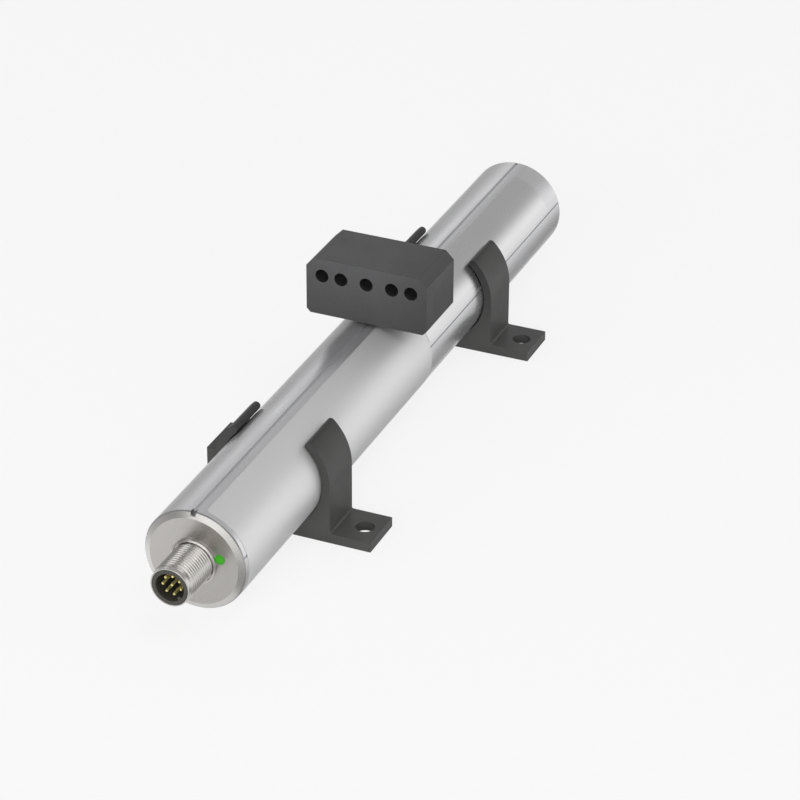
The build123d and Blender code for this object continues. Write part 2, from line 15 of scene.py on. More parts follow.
import bmesh
import bpy
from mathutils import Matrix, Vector


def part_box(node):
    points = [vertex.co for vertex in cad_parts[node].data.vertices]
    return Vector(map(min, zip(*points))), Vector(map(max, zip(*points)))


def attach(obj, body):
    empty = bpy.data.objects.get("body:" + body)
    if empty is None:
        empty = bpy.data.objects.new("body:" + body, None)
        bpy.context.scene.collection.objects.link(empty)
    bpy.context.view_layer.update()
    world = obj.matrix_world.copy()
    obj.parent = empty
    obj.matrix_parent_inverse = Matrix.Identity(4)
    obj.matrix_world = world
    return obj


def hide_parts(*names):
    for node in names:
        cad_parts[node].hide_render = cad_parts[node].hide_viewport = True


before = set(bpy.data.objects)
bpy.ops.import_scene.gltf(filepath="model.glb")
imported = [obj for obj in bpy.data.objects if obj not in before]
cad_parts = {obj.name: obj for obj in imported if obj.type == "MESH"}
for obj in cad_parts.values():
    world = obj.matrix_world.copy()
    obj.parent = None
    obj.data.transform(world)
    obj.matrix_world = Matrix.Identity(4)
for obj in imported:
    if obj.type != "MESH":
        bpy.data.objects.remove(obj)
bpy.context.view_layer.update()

# %% [markdown]
# ## Where the pieces are
#
# Sizes could be typed in again, but then they would drift from the solids. So the places come from the
# frame's own boxes, and only the small sizes that no box shows, such as a groove's depth, are written
# out. The tube's axis runs along Y. A place is given by t, the distance from the tube's connector end, by
# its distance r from the axis, and by an angle that starts at +X and turns up towards +Z.

# %% Measure the tube
mm = 0.001

tube_low, tube_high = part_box("housing_tube")
tube_front = tube_low.y
tube_len = tube_high.y - tube_low.y
tube_r = tube_high.x
axis_z = tube_low.z + tube_r
cap_face_r = tube_r - 1.95 * mm
notch_w = 1.6 * mm
notch_reach = 1.2 * mm
notch_run = 1.2 * mm


def at(t, r, angle):
    """The point at t along the tube, r from its axis, and an angle in radians round it."""
    return Vector((r * cos(angle), tube_front + t, axis_z + r * sin(angle)))


def reach(node):
    """Where a node starts and ends along the tube."""
    low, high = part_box(node)
    return low.y - tube_front, high.y - tube_front


print(f"tube: {tube_len / mm:.1f} mm long, {tube_r / mm:.1f} mm radius, axis {axis_z / mm:.1f} mm up")

# %% [markdown]
# ## The camera
#
# The picture looks down on the connector end from the right, with a long lens that keeps the tube's edges
# nearly parallel. A camera could be pushed about by eye. Here its place follows from a turn and a rise
# round a target, because these two angles are what was read from the tube's edges.

# %% Camera
view_turn = radians(23.774)
view_rise = radians(29.561)
view_distance = 0.914
view_target = Vector((11.80 * mm, tube_front + 88.24 * mm, axis_z + 8.26 * mm))
lens_mm = 144.6
film_mm = 36
film_shift = (0.0374, -0.0113)


def placed(name, data):
    """A new object in the scene."""
    made = bpy.data.objects.new(name, data)
    bpy.context.scene.collection.objects.link(made)
    return made


def aim(thing, target, distance, turn, rise):
    """Put a thing at a turn from the front and a rise over the floor, and let it face its target."""
    direction = Vector((sin(turn) * cos(rise), -cos(turn) * cos(rise), sin(rise)))
    thing.location = target + distance * direction
    thing.rotation_mode = "QUATERNION"
    thing.rotation_quaternion = direction.to_track_quat("Z", "Y")


camera = placed("camera", bpy.data.cameras.new("camera"))
aim(camera, view_target, view_distance, view_turn, view_rise)
camera.data.lens = lens_mm
camera.data.sensor_width = film_mm
camera.data.shift_x, camera.data.shift_y = film_shift
bpy.context.scene.camera = camera
bpy.context.scene.view_settings.view_transform = "Standard"
print("camera at", [round(v, 3) for v in camera.location])

# %% [markdown]
# ## Node trees in script
#
# Materials, the world and geometry all grow from the same kind of tree. Adding a node, setting its
# inputs and linking it takes many lines each time, so one helper does it: a value is set on the
# input's own socket, and a socket is linked to it.


# %% Helper for node trees
def node(tree, kind, inputs=(), **settings):
    """Add a node. Its inputs are a list in their order, or a dict by their names."""
    made = tree.nodes.new(kind)
    for key, value in settings.items():
        setattr(made, key, value)
    pairs = inputs.items() if isinstance(inputs, dict) else enumerate(inputs)
    for key, value in pairs:
        if isinstance(value, bpy.types.NodeSocket):
            tree.links.new(value, made.inputs[key])
        elif value is not None:
            made.inputs[key].default_value = value
    return made


def maths(tree, operation, *values, clamp=False):
    """A sum, product or other function of sockets and numbers, as a socket."""
    return node(tree, "ShaderNodeMath", values, operation=operation, use_clamp=clamp).outputs[0]


def ramp(tree, factor, stops, ease="LINEAR"):
    """A colour ramp through (position, colour) stops, as a socket."""
    made = node(tree, "ShaderNodeValToRGB", [factor])
    made.color_ramp.interpolation = ease
    elements = made.color_ramp.elements
    while len(elements) < len(stops):
        elements.new(0.5)
    for element, (position, colour) in zip(elements, stops):
        element.position = position
        element.color = (*colour, 1)
    return made.outputs["Color"]


def grey(level):
    """A neutral colour."""
    return (level, level, level)


def grey_ramp(tree, factor, stops, ease="LINEAR"):
    """A ramp through (position, tone) stops without colour, as a socket."""
    return ramp(tree, factor, [(place, grey(tone)) for place, tone in stops], ease)


def split(tree, place):
    """The three parts of a vector, as sockets."""
    return node(tree, "ShaderNodeSeparateXYZ", [place]).outputs


# %% [markdown]
# ## The room round the part
#
# Polished metal is mostly a picture of its room. The tube shows a bright horizon on its right flank, a
# dimmer sky on its top, and a soft strip over a dark side on its left. So the room is built from those: a
# world that is pale at the right, dim at the left and dimmer above and in front, and large soft lamps. A
# photographed panorama could do the same, but plain gradients are easier to read and to change. One more
# lamp in front lights the dark plastic but stays out of the metal's reflections, where it would be too
# bright.

# %% World
# Stops of a position and a tone or share. Position 0 is left, below or in front, 1 is the other side
horizon_tones = [(0.26, 0.40), (0.46, 0.80), (0.66, 1.0), (0.80, 1.0)]
sky_tones = [(0.70, 0.37), (1.0, 0.42)]
sky_shares = [(0.555, 0), (0.70, 1)]
depth_shares = [(0.2, 0.5), (0.5, 1)]
world_strength = 1.05


def build_world():
    """A horizon from dim at the left to pale at the right, under a dimmer sky, and dimmer in front."""
    world = bpy.data.worlds.new("studio")
    world.use_nodes = True
    tree = world.node_tree
    direction = split(tree, node(tree, "ShaderNodeTexCoord").outputs["Generated"])
    rightward, backward, upward = [maths(tree, "MULTIPLY_ADD", part, 0.5, 0.5) for part in direction]
    horizon = grey_ramp(tree, rightward, horizon_tones, "EASE")
    sky = grey_ramp(tree, upward, sky_tones)
    rise = grey_ramp(tree, upward, sky_shares, "EASE")
    blend = node(tree, "ShaderNodeMix", {0: rise, 6: horizon, 7: sky}, data_type="RGBA")
    dimming = grey_ramp(tree, backward, depth_shares, "EASE")
    background = tree.nodes["Background"]
    tree.links.new(maths(tree, "MULTIPLY", dimming, world_strength), background.inputs["Strength"])
    tree.links.new(blend.outputs[2], background.inputs["Color"])
    bpy.context.scene.world = world
    return world


print("world:", build_world().name)


# %% Lamps
def softbox(name, turn, rise, distance, width, height, tone):
    """A rectangular lamp that faces the part. Its tone is what a mirror would show of it."""
    lamp = bpy.data.lights.new(name, "AREA")
    lamp.shape = "RECTANGLE"
    lamp.size = width
    lamp.size_y = height
    lamp.energy = tone * pi * width * height
    holder = placed(name, lamp)
    aim(holder, Vector((0, 0, axis_z)), distance, radians(turn), radians(rise))
    return holder


# Name, turn and rise in degrees, distance, width and height in metres, and tone
lamp_table = [
    ("overhead_lamp", 60, 66, 1.6, 1.3, 1.0, 1.05),
    ("front_lamp", 3, 14, 1.8, 2.0, 0.6, 0.9),
    ("fill_lamp", 8, 30, 1.8, 1.1, 0.6, 0.75),
    ("left_front_lamp", -38, 24, 1.6, 0.6, 0.4, 1.1),
    ("left_back_strip", 212, 21, 1.6, 0.9, 0.26, 0.62),
    ("unseen_lamp", 0, 20, 1.8, 2.0, 0.8, 2.7),
]
lamps = [softbox(*row) for row in lamp_table]
lamps[-1].visible_glossy = False
print("lamps:", [lamp.name for lamp in lamps])

# %% [markdown]
# ## The floor
#
# The floor is a wide pale sheet that keeps the part's shadow. A lit sheet alone is never even, so to the
# camera most of it is a steady pale tone. The metal sees other tones, painted light and shade in bands
# along the tube: they fall off to a painted shadow beside the tube and to painted shade at the far left, as
# on a real floor where the soft light doesn't reach.

# %% Floor
floor_half = 30.0
floor_drop = 0.02 * mm
floor_albedo = 0.9
floor_tone = 1.015
floor_share = 0.8
mirror_strength = 1.1
mirror_share = 0.75
mirror_span = 0.4
# Places across the tube in metres, and the tones of painted light and shade that the metal sees there
painted_floor_bands = [
    (-0.120, 0.31),
    (-0.072, 0.46),
    (-0.051, 0.77),
    (-0.039, 0.95),
    (-0.010, 0.74),
    (0.013, 0.66),
    (0.016, 0.16),
    (0.026, 0.24),
    (0.034, 0.42),
    (0.044, 0.66),
    (0.061, 0.84),
    (0.099, 0.94),
]


def floor_finish():
    """A pale sheet, steady to the eye and lit underneath, with painted bands of light and shade for glossy
    and transmission rays.
    """
    finish = bpy.data.materials.new("pale_sheet")
    finish.use_nodes = True
    tree = finish.node_tree
    tree.nodes.clear()
    rays = node(tree, "ShaderNodeLightPath").outputs
    mirrored = maths(tree, "ADD", rays["Is Glossy Ray"], rays["Is Transmission Ray"], clamp=True)
    across = split(tree, node(tree, "ShaderNodeTexCoord").outputs["Object"])["X"]
    across = maths(tree, "MULTIPLY_ADD", across, 1 / mirror_span, 0.5)
    tones = grey_ramp(tree, across, [(x / mirror_span + 0.5, tone) for x, tone in painted_floor_bands])
    lit = node(tree, "ShaderNodeBsdfDiffuse", {"Color": (*grey(floor_albedo), 1)})
    steady = node(tree, "ShaderNodeEmission", {"Color": (*grey(1), 1), "Strength": floor_tone})
    painted_band_tone = node(tree, "ShaderNodeEmission", {"Color": tones, "Strength": mirror_strength})
    camera_share = maths(tree, "MULTIPLY", rays["Is Camera Ray"], floor_share)
    to_eye = node(tree, "ShaderNodeMixShader", [camera_share, lit.outputs[0], steady.outputs[0]])
    metal_share = maths(tree, "MULTIPLY", mirrored, mirror_share)
    to_all = node(tree, "ShaderNodeMixShader", [metal_share, to_eye.outputs[0], painted_band_tone.outputs[0]])
    node(tree, "ShaderNodeOutputMaterial", {"Surface": to_all.outputs[0]})
    return finish


def lay_floor():
    """A square sheet just under the feet."""
    corners = [(-1, -1), (1, -1), (1, 1), (-1, 1)]
    data = bpy.data.meshes.new("floor")
    points = [(x * floor_half, y * floor_half, -floor_drop) for x, y in corners]
    data.from_pydata(points, [], [(0, 1, 2, 3)])
    data.materials.append(floor_finish())
    floor = placed("floor", data)
    return floor


print("floor:", lay_floor().name)

# %% [markdown]
# ## Finishes
#
# Each finish starts from the same shader with its own colour, metal share and roughness. What makes it
# look real is what changes over the surface: grain, lines and small differences in gloss. All patterns are
# worked out in the object's own space, in metres, so they keep their true size when the part is looked at
# from near by or from behind.


# %% Helpers for finishes
gloss_middle = (0.2, 0.8)
tone_middle = (0.3, 0.7)


def start_finish(name, colour, metal, roughness):
    """A new finish, with its tree and its shader."""
    finish = bpy.data.materials.new(name)
    finish.use_nodes = True
    shader = finish.node_tree.nodes["Principled BSDF"]
    shader.inputs["Base Color"].default_value = (*colour, 1)
    shader.inputs["Metallic"].default_value = metal
    shader.inputs["Roughness"].default_value = roughness
    return finish, finish.node_tree, shader


def own_space(tree, scale=(1, 1, 1), centre=(0, 0, 0)):
    """The piece's own coordinates, measured from a centre and scaled."""
    place = node(tree, "ShaderNodeTexCoord").outputs["Object"]
    offset = [-c * s for c, s in zip(centre, scale)]
    return node(tree, "ShaderNodeMapping", {"Vector": place, "Location": offset, "Scale": scale}).outputs[0]


def axis_distance(tree):
    """The distance from the tube axis, as a socket."""
    parts = split(tree, own_space(tree, (1, 1, 1), (0, 0, axis_z)))
    squares = [maths(tree, "MULTIPLY", parts[axis], parts[axis]) for axis in "XZ"]
    return maths(tree, "SQRT", maths(tree, "ADD", *squares))


def grain(tree, size, stretch=(1, 1, 1), detail=3.0):
    """A noise whose lumps are about size wide, drawn out along some axes, as a socket from 0 to 1."""
    place = own_space(tree, [1 / (size * s) for s in stretch])
    noise = {"Vector": place, "Scale": 1.0, "Detail": detail}
    return node(tree, "ShaderNodeTexNoise", noise).outputs["Fac"]


def vary_roughness(tree, shader, factor, low, high):
    """Let the useful middle of a pattern change the gloss."""
    spans = [factor, *gloss_middle, low, high]
    gloss = node(tree, "ShaderNodeMapRange", spans, interpolation_type="SMOOTHSTEP")
    tree.links.new(gloss.outputs["Result"], shader.inputs["Roughness"])


def scaled(colour, share):
    """A colour made darker or lighter."""
    return [min(c * share, 1) for c in colour]


def vary_colour(tree, shader, factor, dark, light):
    """Let a pattern change the colour."""
    low, high = tone_middle
    tone = ramp(tree, factor, [(low, dark), (high, light)])
    tree.links.new(tone, shader.inputs["Base Color"])


def emboss(tree, shader, height, depth, strength):
    """Let a pattern raise the surface by up to a depth."""
    bump = node(tree, "ShaderNodeBump", {"Height": height, "Distance": depth, "Strength": strength})
    tree.links.new(bump.outputs["Normal"], shader.inputs["Normal"])


def tint_where(tree, shader, mask, colour):
    """Let another colour take over where a mask is 1."""
    tone = shader.inputs["Base Color"].links[0].from_socket
    mixed = node(tree, "ShaderNodeMix", {0: mask, 6: tone, 7: (*colour, 1)}, data_type="RGBA")
    tree.links.new(mixed.outputs[2], shader.inputs["Base Color"])


def shade_along(tree, shader, axis, low, high, share_low, share_high):
    """Paint light and shade into the colour, changing it steadily from one place along an axis to another.
    """
    tone = shader.inputs["Base Color"].links[0].from_socket
    place = split(tree, own_space(tree))[axis]
    share = node(tree, "ShaderNodeMapRange", [place, low, high, share_low, share_high]).outputs["Result"]
    shaded = node(tree, "ShaderNodeVectorMath", {0: tone, "Scale": share}, operation="SCALE")
    tree.links.new(shaded.outputs[0], shader.inputs["Base Color"])


# %% [markdown]
# Shade falls in the notch, in the fine grooves, in the seams between tube and caps, and in holes. These
# places are dark lines in the picture, and here that shade is painted into the colour. Each is a mask
# worked out from where the surface lies, and a darker colour takes over there.

# %% Helpers for painted shade
# Colours of painted shade in the notch, the side grooves, the seams and the holes
painted_notch_shade = grey(0.4)
painted_groove_shade = grey(0.35)
painted_seam_shade = grey(0.45)
painted_hole_shade = grey(0.035)
groove_shade_depth = 0.2 * mm
seam_half = 0.16 * mm
notch_halves = (0.52 * notch_w, 1.02 * notch_run, 1.05 * notch_reach)


def paint_box_shade(tree, shader, centre, halves, colour):
    """Paint shade on what lies in a box, given by its centre and its half sizes."""
    parts = split(tree, own_space(tree, (1, 1, 1), centre))
    mask = 1.0
    for part, half in zip(parts, halves):
        within = maths(tree, "LESS_THAN", maths(tree, "ABSOLUTE", part), half)
        mask = maths(tree, "MULTIPLY", mask, within)
    tint_where(tree, shader, mask, colour)


def paint_notch_shade(tree, shader):
    """Paint shade into the notch at the top of the tube's near end, in a box slightly larger than it."""
    paint_box_shade(tree, shader, (0, tube_front, axis_z + tube_r), notch_halves, painted_notch_shade)


def paint_groove_shade(tree, shader):
    """Paint shade into the fine groove on each side of the tube."""
    low = maths(tree, "LESS_THAN", split(tree, own_space(tree))["Z"], axis_z + tube_r / 2)
    deep = maths(tree, "LESS_THAN", axis_distance(tree), tube_r - groove_shade_depth)
    tint_where(tree, shader, maths(tree, "MULTIPLY", low, deep), painted_groove_shade)


def paint_seam_shade(tree, shader):
    """Paint shade into the seam between the tube and the cap at either end."""
    along = maths(tree, "SUBTRACT", split(tree, own_space(tree))["Y"], tube_front + tube_len / 2)
    seam = maths(tree, "COMPARE", maths(tree, "ABSOLUTE", along), tube_len / 2, seam_half)
    tint_where(tree, shader, seam, painted_seam_shade)


# %% [markdown]
# ### Tube and foil
#
# The tube is drawn aluminium with a satin skin. Drawing leaves hair lines along it, so its grain is
# drawn out lengthwise. The foil on its right side is smooth and has no lines. The near foil is the duller
# and lighter of the two, because it is worn matt, and the far one is still glossy.


# %% Tube and foil finishes
def drawn_aluminium():
    """Satin aluminium with hair lines along the tube."""
    finish, tree, shader = start_finish("tube_aluminium", (0.80, 0.80, 0.81), metal=0.84, roughness=0.3)
    lines = grain(tree, 0.12 * mm, stretch=(1, 160, 1), detail=4.0)
    clouds = grain(tree, 9 * mm, stretch=(1, 3, 1), detail=2.0)
    vary_roughness(tree, shader, clouds, low=0.25, high=0.34)
    vary_colour(tree, shader, lines, dark=(0.74, 0.74, 0.755), light=(0.84, 0.84, 0.85))
    # Painted shade in the notch, the side grooves and the seams
    paint_notch_shade(tree, shader)
    paint_groove_shade(tree, shader)
    paint_seam_shade(tree, shader)
    emboss(tree, shader, lines, depth=0.0015 * mm, strength=0.5)
    return finish


def silver_foil(name, colour, metal, roughness):
    """Foil with a fine even grain and a slow change of gloss."""
    finish, tree, shader = start_finish(name, grey(colour), metal, roughness)
    fine = grain(tree, 0.25 * mm)
    slow = grain(tree, 14 * mm, stretch=(1, 2, 1), detail=2.0)
    vary_roughness(tree, shader, slow, low=roughness - 0.03, high=roughness + 0.03)
    vary_colour(tree, shader, fine, dark=grey(colour - 0.01), light=grey(colour + 0.01))
    emboss(tree, shader, fine, depth=0.001 * mm, strength=0.4)
    return finish


tube_skin = drawn_aluminium()
matt_foil = silver_foil("label_foil_matt", colour=0.885, metal=0.7, roughness=0.5)
glossy_foil = silver_foil("label_foil_glossy", colour=0.79, metal=1.0, roughness=0.27)
print("finishes:", tube_skin.name, matt_foil.name, glossy_foil.name)

# %% [markdown]
# ### Turned metal
#
# The end caps and the connector come from a lathe. The tool leaves rings round the axis, each a little
# different, so their pattern is a noise of the distance from the axis alone.


# %% Turned finishes
bevel_painted_highlight = (0.77, 0.75, 0.725)


def turned_metal(name, colour, roughness, ring_width):
    """Metal from a lathe, with rings of slightly different gloss."""
    finish, tree, shader = start_finish(name, colour, 1.0, roughness)
    noise = {"W": maths(tree, "DIVIDE", axis_distance(tree), ring_width), "Scale": 1.0, "Detail": 2.0}
    rings = node(tree, "ShaderNodeTexNoise", noise, noise_dimensions="1D").outputs["Fac"]
    vary_roughness(tree, shader, rings, low=roughness - 0.03, high=roughness + 0.05)
    vary_colour(tree, shader, rings, dark=scaled(colour, 0.96), light=scaled(colour, 1.03))
    emboss(tree, shader, rings, depth=0.0015 * mm, strength=0.5)
    return finish


def cap_metal():
    """Turned steel, with a painted highlight on its bevel and painted shade in its seam and its notch."""
    finish = turned_metal("turned_steel", (0.58, 0.56, 0.54), roughness=0.28, ring_width=0.10 * mm)
    tree = finish.node_tree
    shader = tree.nodes["Principled BSDF"]
    # The bevel's brighter colour is a painted highlight
    on_bevel = maths(tree, "GREATER_THAN", axis_distance(tree), cap_face_r)
    tint_where(tree, shader, on_bevel, bevel_painted_highlight)
    paint_seam_shade(tree, shader)
    paint_notch_shade(tree, shader)
    return finish


cap_steel = cap_metal()
nickel_colour = (0.72, 0.695, 0.665)
plug_nickel = turned_metal("connector_nickel", nickel_colour, roughness=0.23, ring_width=0.12 * mm)
print("finishes:", cap_steel.name, plug_nickel.name)

# %% [markdown]
# ### Moulded plastic
#
# Saddles, block and connector insert are moulded in dark plastic. A mould is spark eroded, which leaves a
# fine pebble on each face, and the plastic flows in clouds that change the gloss a little. The picture
# shows the saddles darker higher up, and the block lighter at its top and darker towards its right end,
# more than these lamps make them. So painted shade and painted light are put into their colour, steadily
# along an axis.


# %% Plastic finishes
def moulded(name, colour, roughness, shine, pebble=0.22 * mm, shades=()):
    """Plastic with a fine pebble, slow clouds of gloss, and painted light and shade along some axes."""
    finish, tree, shader = start_finish(name, colour, 0.0, roughness)
    shader.inputs["Specular IOR Level"].default_value = shine
    fine = grain(tree, pebble, detail=2.0)
    slow = grain(tree, 7 * mm, detail=2.0)
    vary_roughness(tree, shader, slow, low=roughness - 0.05, high=roughness + 0.06)
    vary_colour(tree, shader, fine, dark=scaled(colour, 0.9), light=scaled(colour, 1.1))
    for shade in shades:
        shade_along(tree, shader, *shade)
    emboss(tree, shader, fine, depth=0.008 * mm, strength=0.5)
    return finish


# Painted light and shade: axis, from where to where, and the share of the colour at either end
saddle_painted_shade = [("Z", 4 * mm, 33 * mm, 1.32, 0.6)]
glide_painted_light_and_shade = [("Z", 34 * mm, 51 * mm, 0.9, 1.32), ("X", 4 * mm, 19 * mm, 1.04, 0.78)]
saddle_grey = (0.070, 0.0695, 0.068)
glide_grey = (0.076, 0.076, 0.078)
insert_brown = (0.060, 0.057, 0.048)
saddle_plastic = moulded("bracket_plastic", saddle_grey, roughness=0.4, shine=0.4, shades=saddle_painted_shade)
glide_plastic = moulded("block_plastic", glide_grey, roughness=0.52, shine=0.3, shades=glide_painted_light_and_shade)
insert_plastic = moulded("insert_plastic", insert_brown, roughness=0.42, shine=0.5, pebble=0.12 * mm)
print("finishes:", saddle_plastic.name, glide_plastic.name, insert_plastic.name)

# %% [markdown]
# ### Gold pins and the status light
#
# The pins carry a thin layer of gold that shows the brushing under it. The light is a clear green rod
# with a lamp behind it, so it glows most in its middle.


# %% Gold and light finishes
glow_tones = [(0.35, (0.055, 0.43, 0.012)), (1.0, (0.035, 0.33, 0.008))]
glow_strength = 0.46


def pin_gold():
    """Gold plating over brushed brass."""
    finish, tree, shader = start_finish("pin_gold", (0.97, 0.86, 0.34), metal=0.6, roughness=0.32)
    brushing = grain(tree, 0.06 * mm, stretch=(1, 30, 1), detail=2.0)
    vary_roughness(tree, shader, brushing, low=0.28, high=0.42)
    vary_colour(tree, shader, brushing, dark=(0.93, 0.81, 0.27), light=(1.0, 0.91, 0.42))
    return finish


def green_glow(centre, rod_r):
    """A green rod that glows, most in its middle."""
    finish, tree, shader = start_finish("light_green", (0.02, 0.20, 0.004), metal=0.0, roughness=0.35)
    place = own_space(tree, (1 / rod_r, 0, 1 / rod_r), centre)
    away = node(tree, "ShaderNodeVectorMath", [place], operation="LENGTH").outputs["Value"]
    glow = ramp(tree, away, glow_tones, "EASE")
    tree.links.new(glow, shader.inputs["Emission Color"])
    shader.inputs["Emission Strength"].default_value = glow_strength
    return finish


contact_gold = pin_gold()
print("finish:", contact_gold.name)

# %% [markdown]
# ## Mesh helpers
#
# Most pieces here are turned or cut to an outline. Three helpers cover them: one spins a profile round the
# tube axis, one pulls an outline along the tube, and one raises an outline straight up. Corners of a
# profile are rounded before it is spun, because a real edge is never knife sharp and its small radius is
# what catches the light.


# %% Helpers for meshes
round_steps = 4
longest_cut = 0.4
support_reach = 1.2
weld = 0.0005 * mm
sharp_from = 30
edge_segments = 3


def arc(centre, r, start, end, steps):
    """Points on an arc in a plane, from a start to an end angle in degrees."""
    angles = [radians(start + (end - start) * k / steps) for k in range(steps + 1)]
    return [(centre[0] + r * cos(a), centre[1] + r * sin(a)) for a in angles]


def swung(point, angle):
    """A point of a plane, turned round its origin."""
    x, y = point
    return Vector((x * cos(angle) - y * sin(angle), x * sin(angle) + y * cos(angle)))


def rounded(points, radius):
    """Round every corner of a closed outline, with a support point on either side of each arc."""
    result = []
    for index, corner in enumerate(points):
        here = Vector(corner)
        back = Vector(points[index - 1]) - here
        ahead = Vector(points[(index + 1) % len(points)]) - here
        half = back.angle(ahead) / 2
        cut = min(radius / tan(half), longest_cut * back.length, longest_cut * ahead.length)
        back.normalize()
        ahead.normalize()
        middle = here + (back + ahead).normalized() * (cut / cos(half))
        first = here + back * cut - middle
        turn = first.angle_signed(here + ahead * cut - middle)
        result.append(here + back * cut * support_reach)
        result += [middle + swung(first, -turn * k / round_steps) for k in range(round_steps + 1)]
        result.append(here + ahead * cut * support_reach)
    return [tuple(point) for point in result]


def rounded_between(points, radius):
    """Round all corners but the first and the last, which lie on the axis."""
    result = rounded(points, radius)
    per_corner = round_steps + 3
    return [points[0]] + result[per_corner:-per_corner] + [points[-1]]


def tidy(data, sharp=sharp_from):
    """Merge what coincides, turn every face outwards and shade it smooth up to sharp edges."""
    shell = bmesh.new()
    shell.from_mesh(data)
    bmesh.ops.remove_doubles(shell, verts=shell.verts, dist=weld)
    bmesh.ops.dissolve_degenerate(shell, edges=shell.edges, dist=weld)
    bmesh.ops.recalc_face_normals(shell, faces=shell.faces)
    shell.to_mesh(data)
    shell.free()
    data.shade_smooth()
    data.set_sharp_from_angle(angle=radians(sharp))


def piece_of(name, points, faces, finish):
    """A new piece from points and faces, at the origin, in its finish."""
    data = bpy.data.meshes.new(name)
    data.from_pydata([tuple(point) for point in points], [], faces)
    data.materials.append(finish)
    tidy(data)
    return placed(name, data)


def ring_faces(rows, columns):
    """Faces between closed rings of points that follow each other, and from the last to the first."""
    faces = []
    for row in range(rows):
        below = row * columns
        above = (row + 1) % rows * columns
        for column in range(columns):
            beside = (column + 1) % columns
            faces.append((below + column, below + beside, above + beside, above + column))
    return faces


def turned(name, profile, finish, steps=192, offset=(0, 0, 0)):
    """Spin a closed profile of (t, r) points round the tube axis, or round a line beside it."""
    angles = [2 * pi * k / steps for k in range(steps)]
    points = [at(t, r, angle) + Vector(offset) for t, r in profile for angle in angles]
    return piece_of(name, points, ring_faces(len(profile), steps), finish)


def prism(name, rims, finish):
    """A solid between two like outlines, given as points in space."""
    count = len(rims[0])
    sides = [(k, (k + 1) % count, (k + 1) % count + count, k + count) for k in range(count)]
    ends = [tuple(range(count)), tuple(range(2 * count - 1, count - 1, -1))]
    return piece_of(name, rims[0] + rims[1], sides + ends, finish)


def pulled(name, outline, start, end, finish):
    """Pull an outline of (x, height over the axis) points along the tube, from one t to another."""
    rims = [[(x, tube_front + t, axis_z + z) for x, z in outline] for t in (start, end)]
    return prism(name, rims, finish)


def raised(name, outline, low, high, finish):
    """Raise an outline of (x, t) points from one height over the axis to another."""
    rims = [[(x, tube_front + t, axis_z + z) for x, t in outline] for z in (low, high)]
    return prism(name, rims, finish)


# %% [markdown]
# Holes and notches are cut with a second mesh. A cut leaves bare edges, so a small bevel follows it where
# the real edge is broken. Both are modifiers, and the result is baked to a plain mesh.


# %% Helpers for cuts
def bake(piece):
    """Replace a piece's mesh by what its modifiers make, and take them off."""
    bpy.context.view_layer.update()
    graph = bpy.context.evaluated_depsgraph_get()
    made = bpy.data.meshes.new_from_object(piece.evaluated_get(graph))
    piece.modifiers.clear()
    piece.data = made
    made.name = piece.name
    return piece


def cut(piece, cutter):
    """Take a cutter away from a piece, and delete the cutter."""
    modifier = piece.modifiers.new("cut", "BOOLEAN")
    modifier.operation = "DIFFERENCE"
    modifier.solver = "EXACT"
    modifier.object = cutter
    bake(piece)
    bpy.data.objects.remove(cutter)
    tidy(piece.data)
    return piece


def break_edges(piece, width):
    """Round the sharp edges a little, with flat faces left flat."""
    modifier = piece.modifiers.new("edges", "BEVEL")
    modifier.width = width
    modifier.segments = edge_segments
    modifier.limit_method = "ANGLE"
    modifier.angle_limit = radians(sharp_from)
    modifier.harden_normals = True
    return bake(piece)


def dress(piece, body, slot, *nodes):
    """Let a piece stand for its nodes and ride on its body."""
    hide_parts(*nodes)
    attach(piece, body)
    print(f"{piece.name}: {len(piece.data.polygons)} faces on {body}")


# %% [markdown]
# ## The tube
#
# The tube is drawn through a die that leaves a groove along its top and a fine one on each side, a little
# over the middle. The grooves could be cut, but a section that already holds them follows the real
# process: the outline is walked once round, dips at each groove, and is pulled to the tube's length. Its
# two ends are faced with a small chamfer, and a round notch at the top of the near end lines up the cap.

# %% Tube
tube_wall = 1.6 * mm
groove_lip = 0.05 * mm
end_chamfer = 0.2 * mm
# Angle round the tube in degrees, width and depth of each groove
grooves = [(15, 0.4 * mm, 0.25 * mm), (90, 0.9 * mm, 0.55 * mm), (165, 0.4 * mm, 0.25 * mm)]
groove_floor_share = 0.55
groove_steps = 6
skin_step = radians(1.5)
capsule_steps = 12


def groove_section(middle, width, depth):
    """One groove: a rounded side, a flat floor and a steep side, as (angle, depth) pairs."""
    half = width / 2
    floor_end = (groove_floor_share - 0.5) * width
    run = half + floor_end
    fall = depth - groove_lip
    swell = arc((0, 0), 1, 180, 90, groove_steps)
    steps = [(-half - groove_lip, 0)]
    steps += [(floor_end + x * run, groove_lip + y * fall) for x, y in swell]
    steps += [(half, depth), (half, groove_lip), (half + groove_lip, 0)]
    return [(middle + x / tube_r, down) for x, down in steps]


def tube_section():
    """The tube's outline as (angle, depth under its skin) pairs, with its grooves."""
    section = []
    skin_from = radians(grooves[-1][0] - 360) + (grooves[-1][1] / 2 + groove_lip) / tube_r
    for angle, width, depth in grooves:
        groove = groove_section(radians(angle), width, depth)
        skin_to = groove[0][0]
        count = int((skin_to - skin_from) / skin_step)
        section += [(skin_from + (skin_to - skin_from) * k / count, 0) for k in range(count)]
        section += groove[:-1]
        skin_from = groove[-1][0]
    return section


